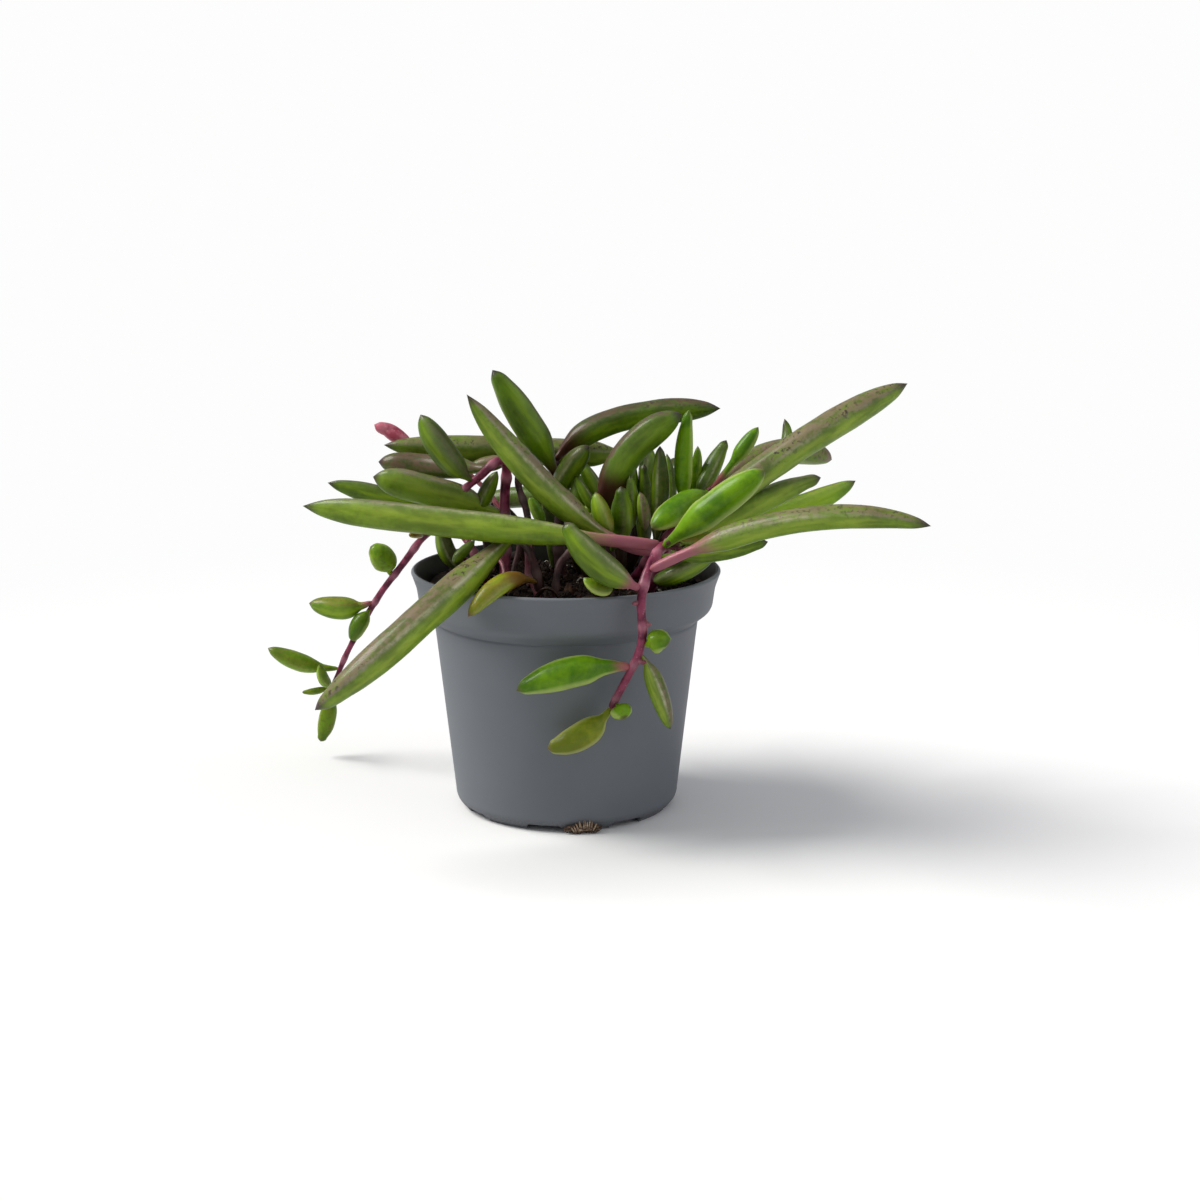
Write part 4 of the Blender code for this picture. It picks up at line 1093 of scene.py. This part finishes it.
# Small lumps of few faces scattered on the top of the soil, inside the pot's wall.
def grainTree():
    tree, add, given = startTree("scatteredGrainTree", {
        "Count": ("Int", 100), "Smallest": ("Float", 0.001), "Largest": ("Float", 0.001),
        "Length": ("Float", 1.0), "Reach": ("Float", 0.0256), "Seed": ("Int", 1),
        "Material": ("Material", None)})
    area = add(times, [add(power, [given["Reach"], 2.0]), math.pi])
    density = add(over, [given["Count"], area])
    at = add(split, [add(position)]).outputs
    out = add(lengthOf, [add(join, [at[0], at[1]])])
    inside = add(below, [out, given["Reach"]])
    facing = add(split, [add("GeometryNodeInputNormal")]).outputs[2]
    upper = add(times, [inside, add(above, [facing, 0.4])])
    points = add("GeometryNodeDistributePointsOnFaces",
                 {"Mesh": given["Geometry"], "Selection": upper, "Density": density,
                  "Seed": given["Seed"]})
    grain = add("GeometryNodeMeshIcoSphere", {"Radius": 1.0, "Subdivisions": 1})
    turn = add("FunctionNodeRandomValue", {0: (0.0, 0.0, 0.0), 1: (6.3, 6.3, 6.3),
                                           "Seed": given["Seed"]}, data_type="FLOAT_VECTOR")
    low = add(join, [given["Smallest"], given["Smallest"], given["Smallest"]])
    high = add(join, [add(times, [given["Largest"], given["Length"]]), given["Largest"],
                      given["Smallest"]])
    size = add("FunctionNodeRandomValue", {0: low, 1: high, "Seed": given["Seed"]},
               data_type="FLOAT_VECTOR")
    scattered = add("GeometryNodeInstanceOnPoints",
                    {0: points, "Instance": grain, "Rotation": turn, "Scale": size})
    return endTree(tree, scattered, given["Material"])


def soilMesh():
    build = bmesh.new()
    dice = random.Random(7)
    reach = soil["lumpReach"]
    lumps = [(dice.uniform(-reach, reach), dice.uniform(-reach, reach),
              dice.uniform(*soil["lumpWidth"]), dice.uniform(*soil["lumpHeight"]))
             for _ in range(soil["lumps"])]

    def height(x, y):
        rise = soil["top"] + soil["crown"] * (1 - (x * x + y * y) / soil["rim"] ** 2)
        return rise + sum(h * math.exp(-((x - a) ** 2 + (y - b) ** 2) / (s * s))
                          for a, b, s, h in lumps)

    count = soil["columns"]
    turns = [2 * math.pi * column / count for column in range(count)]
    rows = []
    middle = build.verts.new((0, 0, height(0, 0) * mm))
    for ring in range(1, soil["rings"] + 1):
        radius = soil["rim"] * ring / soil["rings"]
        rows.append([build.verts.new((radius * math.cos(a) * mm, radius * math.sin(a) * mm,
                                      height(radius * math.cos(a), radius * math.sin(a)) * mm))
                     for a in turns])
    for radius, level in soil["sides"]:
        rows.append([build.verts.new((radius * mm * math.cos(a), radius * mm * math.sin(a),
                                      level * mm)) for a in turns])
    last = build.verts.new((0, 0, soil["bottom"] * mm))
    for c in range(count):
        build.faces.new((middle, rows[0][c], rows[0][(c + 1) % count]))
        build.faces.new((last, rows[-1][(c + 1) % count], rows[-1][c]))
    for inner, outer in zip(rows, rows[1:]):
        for c in range(count):
            build.faces.new((inner[c], outer[c], outer[(c + 1) % count], inner[(c + 1) % count]))
    mesh = bpy.data.meshes.new("soilPlug")
    build.to_mesh(mesh)
    build.free()
    mesh.shade_smooth()
    return mesh


plug = soilMesh()
plug.materials.append(peat)
soilPlug = bpy.data.objects.new("soil-plug", plug)
scene.collection.objects.link(soilPlug)
place(soilPlug, "soil", "soil")
scatteredGrainTree = grainTree()
for label, (count, sizes, stretch, seed) in soil["grains"].items():
    piece = grow("soil-" + label, plug.copy(), scatteredGrainTree, {
        "Count": count, "Smallest": sizes[0] * mm, "Largest": sizes[1] * mm, "Length": stretch,
        "Reach": soil["scatter"] * mm, "Seed": seed, "Material": grainMatter[label]})
    place(piece, "soil")


print("roots")
roots = {"turn": 9.0, "halfWidth": 3.4, "matHeight": 1.8, "matDepth": 0.32,
         "fibres": 300, "fibreThickness": 0.2, "spikes": 12, "spikeReach": (1.1, 3.0),
         "spikeThickness": 0.28, "tallestAt": 0.2, "clear": 0.04}


# Keeps a point clear of the round of the pot's foot. away is nought on the foot's surface
# and one at the point's own distance.
def clearOfFoot(point, away=1.0):
    bend = pot["cornerRound"]
    sag = max(0.0, bend - point.z / mm)
    bulge = max(math.sqrt(max(0.0, bend ** 2 - sag ** 2)),
                bend * math.cos(math.radians(pot["cornerSweep"])))
    reach = (pot["bodyBottom"] - bend + bulge + roots["clear"]) * mm
    flat = Vector((point.x, point.y, 0.0))
    flat *= (reach + (max(flat.length, reach) - reach) * away) / flat.length
    return Vector((flat.x, flat.y, max(point.z, 0.12 * mm)))


dice = random.Random(5)
low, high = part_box("root_wisps")
clump = (low + high) / 2
turn = math.radians(roots["turn"])
across = Vector((math.cos(turn), math.sin(turn), 0.0))
outward = Vector((math.sin(turn), -math.cos(turn), 0.0))
shortest, longest = roots["spikeReach"]
fibres, spikes = [], []
for i in range(roots["fibres"]):
    # A mat of curled fibres, from the foot's surface out to a flat lens.
    side = dice.uniform(-0.95, 0.95)
    thick = math.sqrt(1 - side * side)
    start = clump + across * side * roots["halfWidth"] * mm
    start.z = (0.5 + dice.uniform(-0.42, 0.42) * thick) * roots["matHeight"] * mm
    start += outward * dice.uniform(-0.3, 1.0) * roots["matDepth"] * thick * mm
    heading = (across * dice.uniform(-1, 1) + axisUp * dice.uniform(-0.35, 0.45)).normalized()
    size = dice.uniform(0.4, 0.9) * mm
    curl = outward * dice.uniform(0.0, 0.16) * mm + axisUp * dice.uniform(-0.1, 0.14) * mm
    points = [start - heading * size, start - heading * size * 0.9, start + curl,
              start + heading * size * 0.9, start + heading * size]
    away = dice.uniform(0.0, 1.0)
    points = [clearOfFoot(point, away) for point in points]
    radii = [0.5 * roots["fibreThickness"] * mm * r for r in (0.0, 0.8, 1.0, 0.7, 0.0)]
    fibres.append(makeStem("fibre", points, radii, rootMatFibre, around=6, nodeHeight=0.0))
for i in range(roots["spikes"]):
    # A fan of pale spikes, tallest a little right of the middle.
    side = -0.85 + 1.7 * (i + dice.uniform(0.1, 0.9)) / roots["spikes"]
    start = clump + across * side * roots["halfWidth"] * 0.62 * mm
    start.z = 0.55 * mm
    lean = (side - roots["tallestAt"]) * 0.6 + dice.uniform(-0.2, 0.2)
    size = (shortest + (longest - shortest) * (1 - abs(side - roots["tallestAt"]))
            * dice.uniform(0.55, 1.0)) * mm
    tip = start + (across * lean + axisUp).normalized() * size
    tip += outward * dice.uniform(-0.1, 0.2) * mm
    bend = (start + tip) / 2 + outward * dice.uniform(0.0, 0.15) * mm
    start, bend, tip = (clearOfFoot(point) + outward * 0.12 * mm for point in (start, bend, tip))
    points = [start, start.lerp(bend, 0.2), bend, tip.lerp(bend, 0.3), tip]
    radii = [0.5 * roots["spikeThickness"] * mm * r for r in (0.0, 1.0, 1.0, 0.7, 0.0)]
    spikes.append(makeStem("spike", points, radii, dryRoot, around=6, nodeHeight=0.0))
place(gathered("root-mat", fibres), "root", "root_wisps")
place(gathered("root-spikes", spikes), "root")
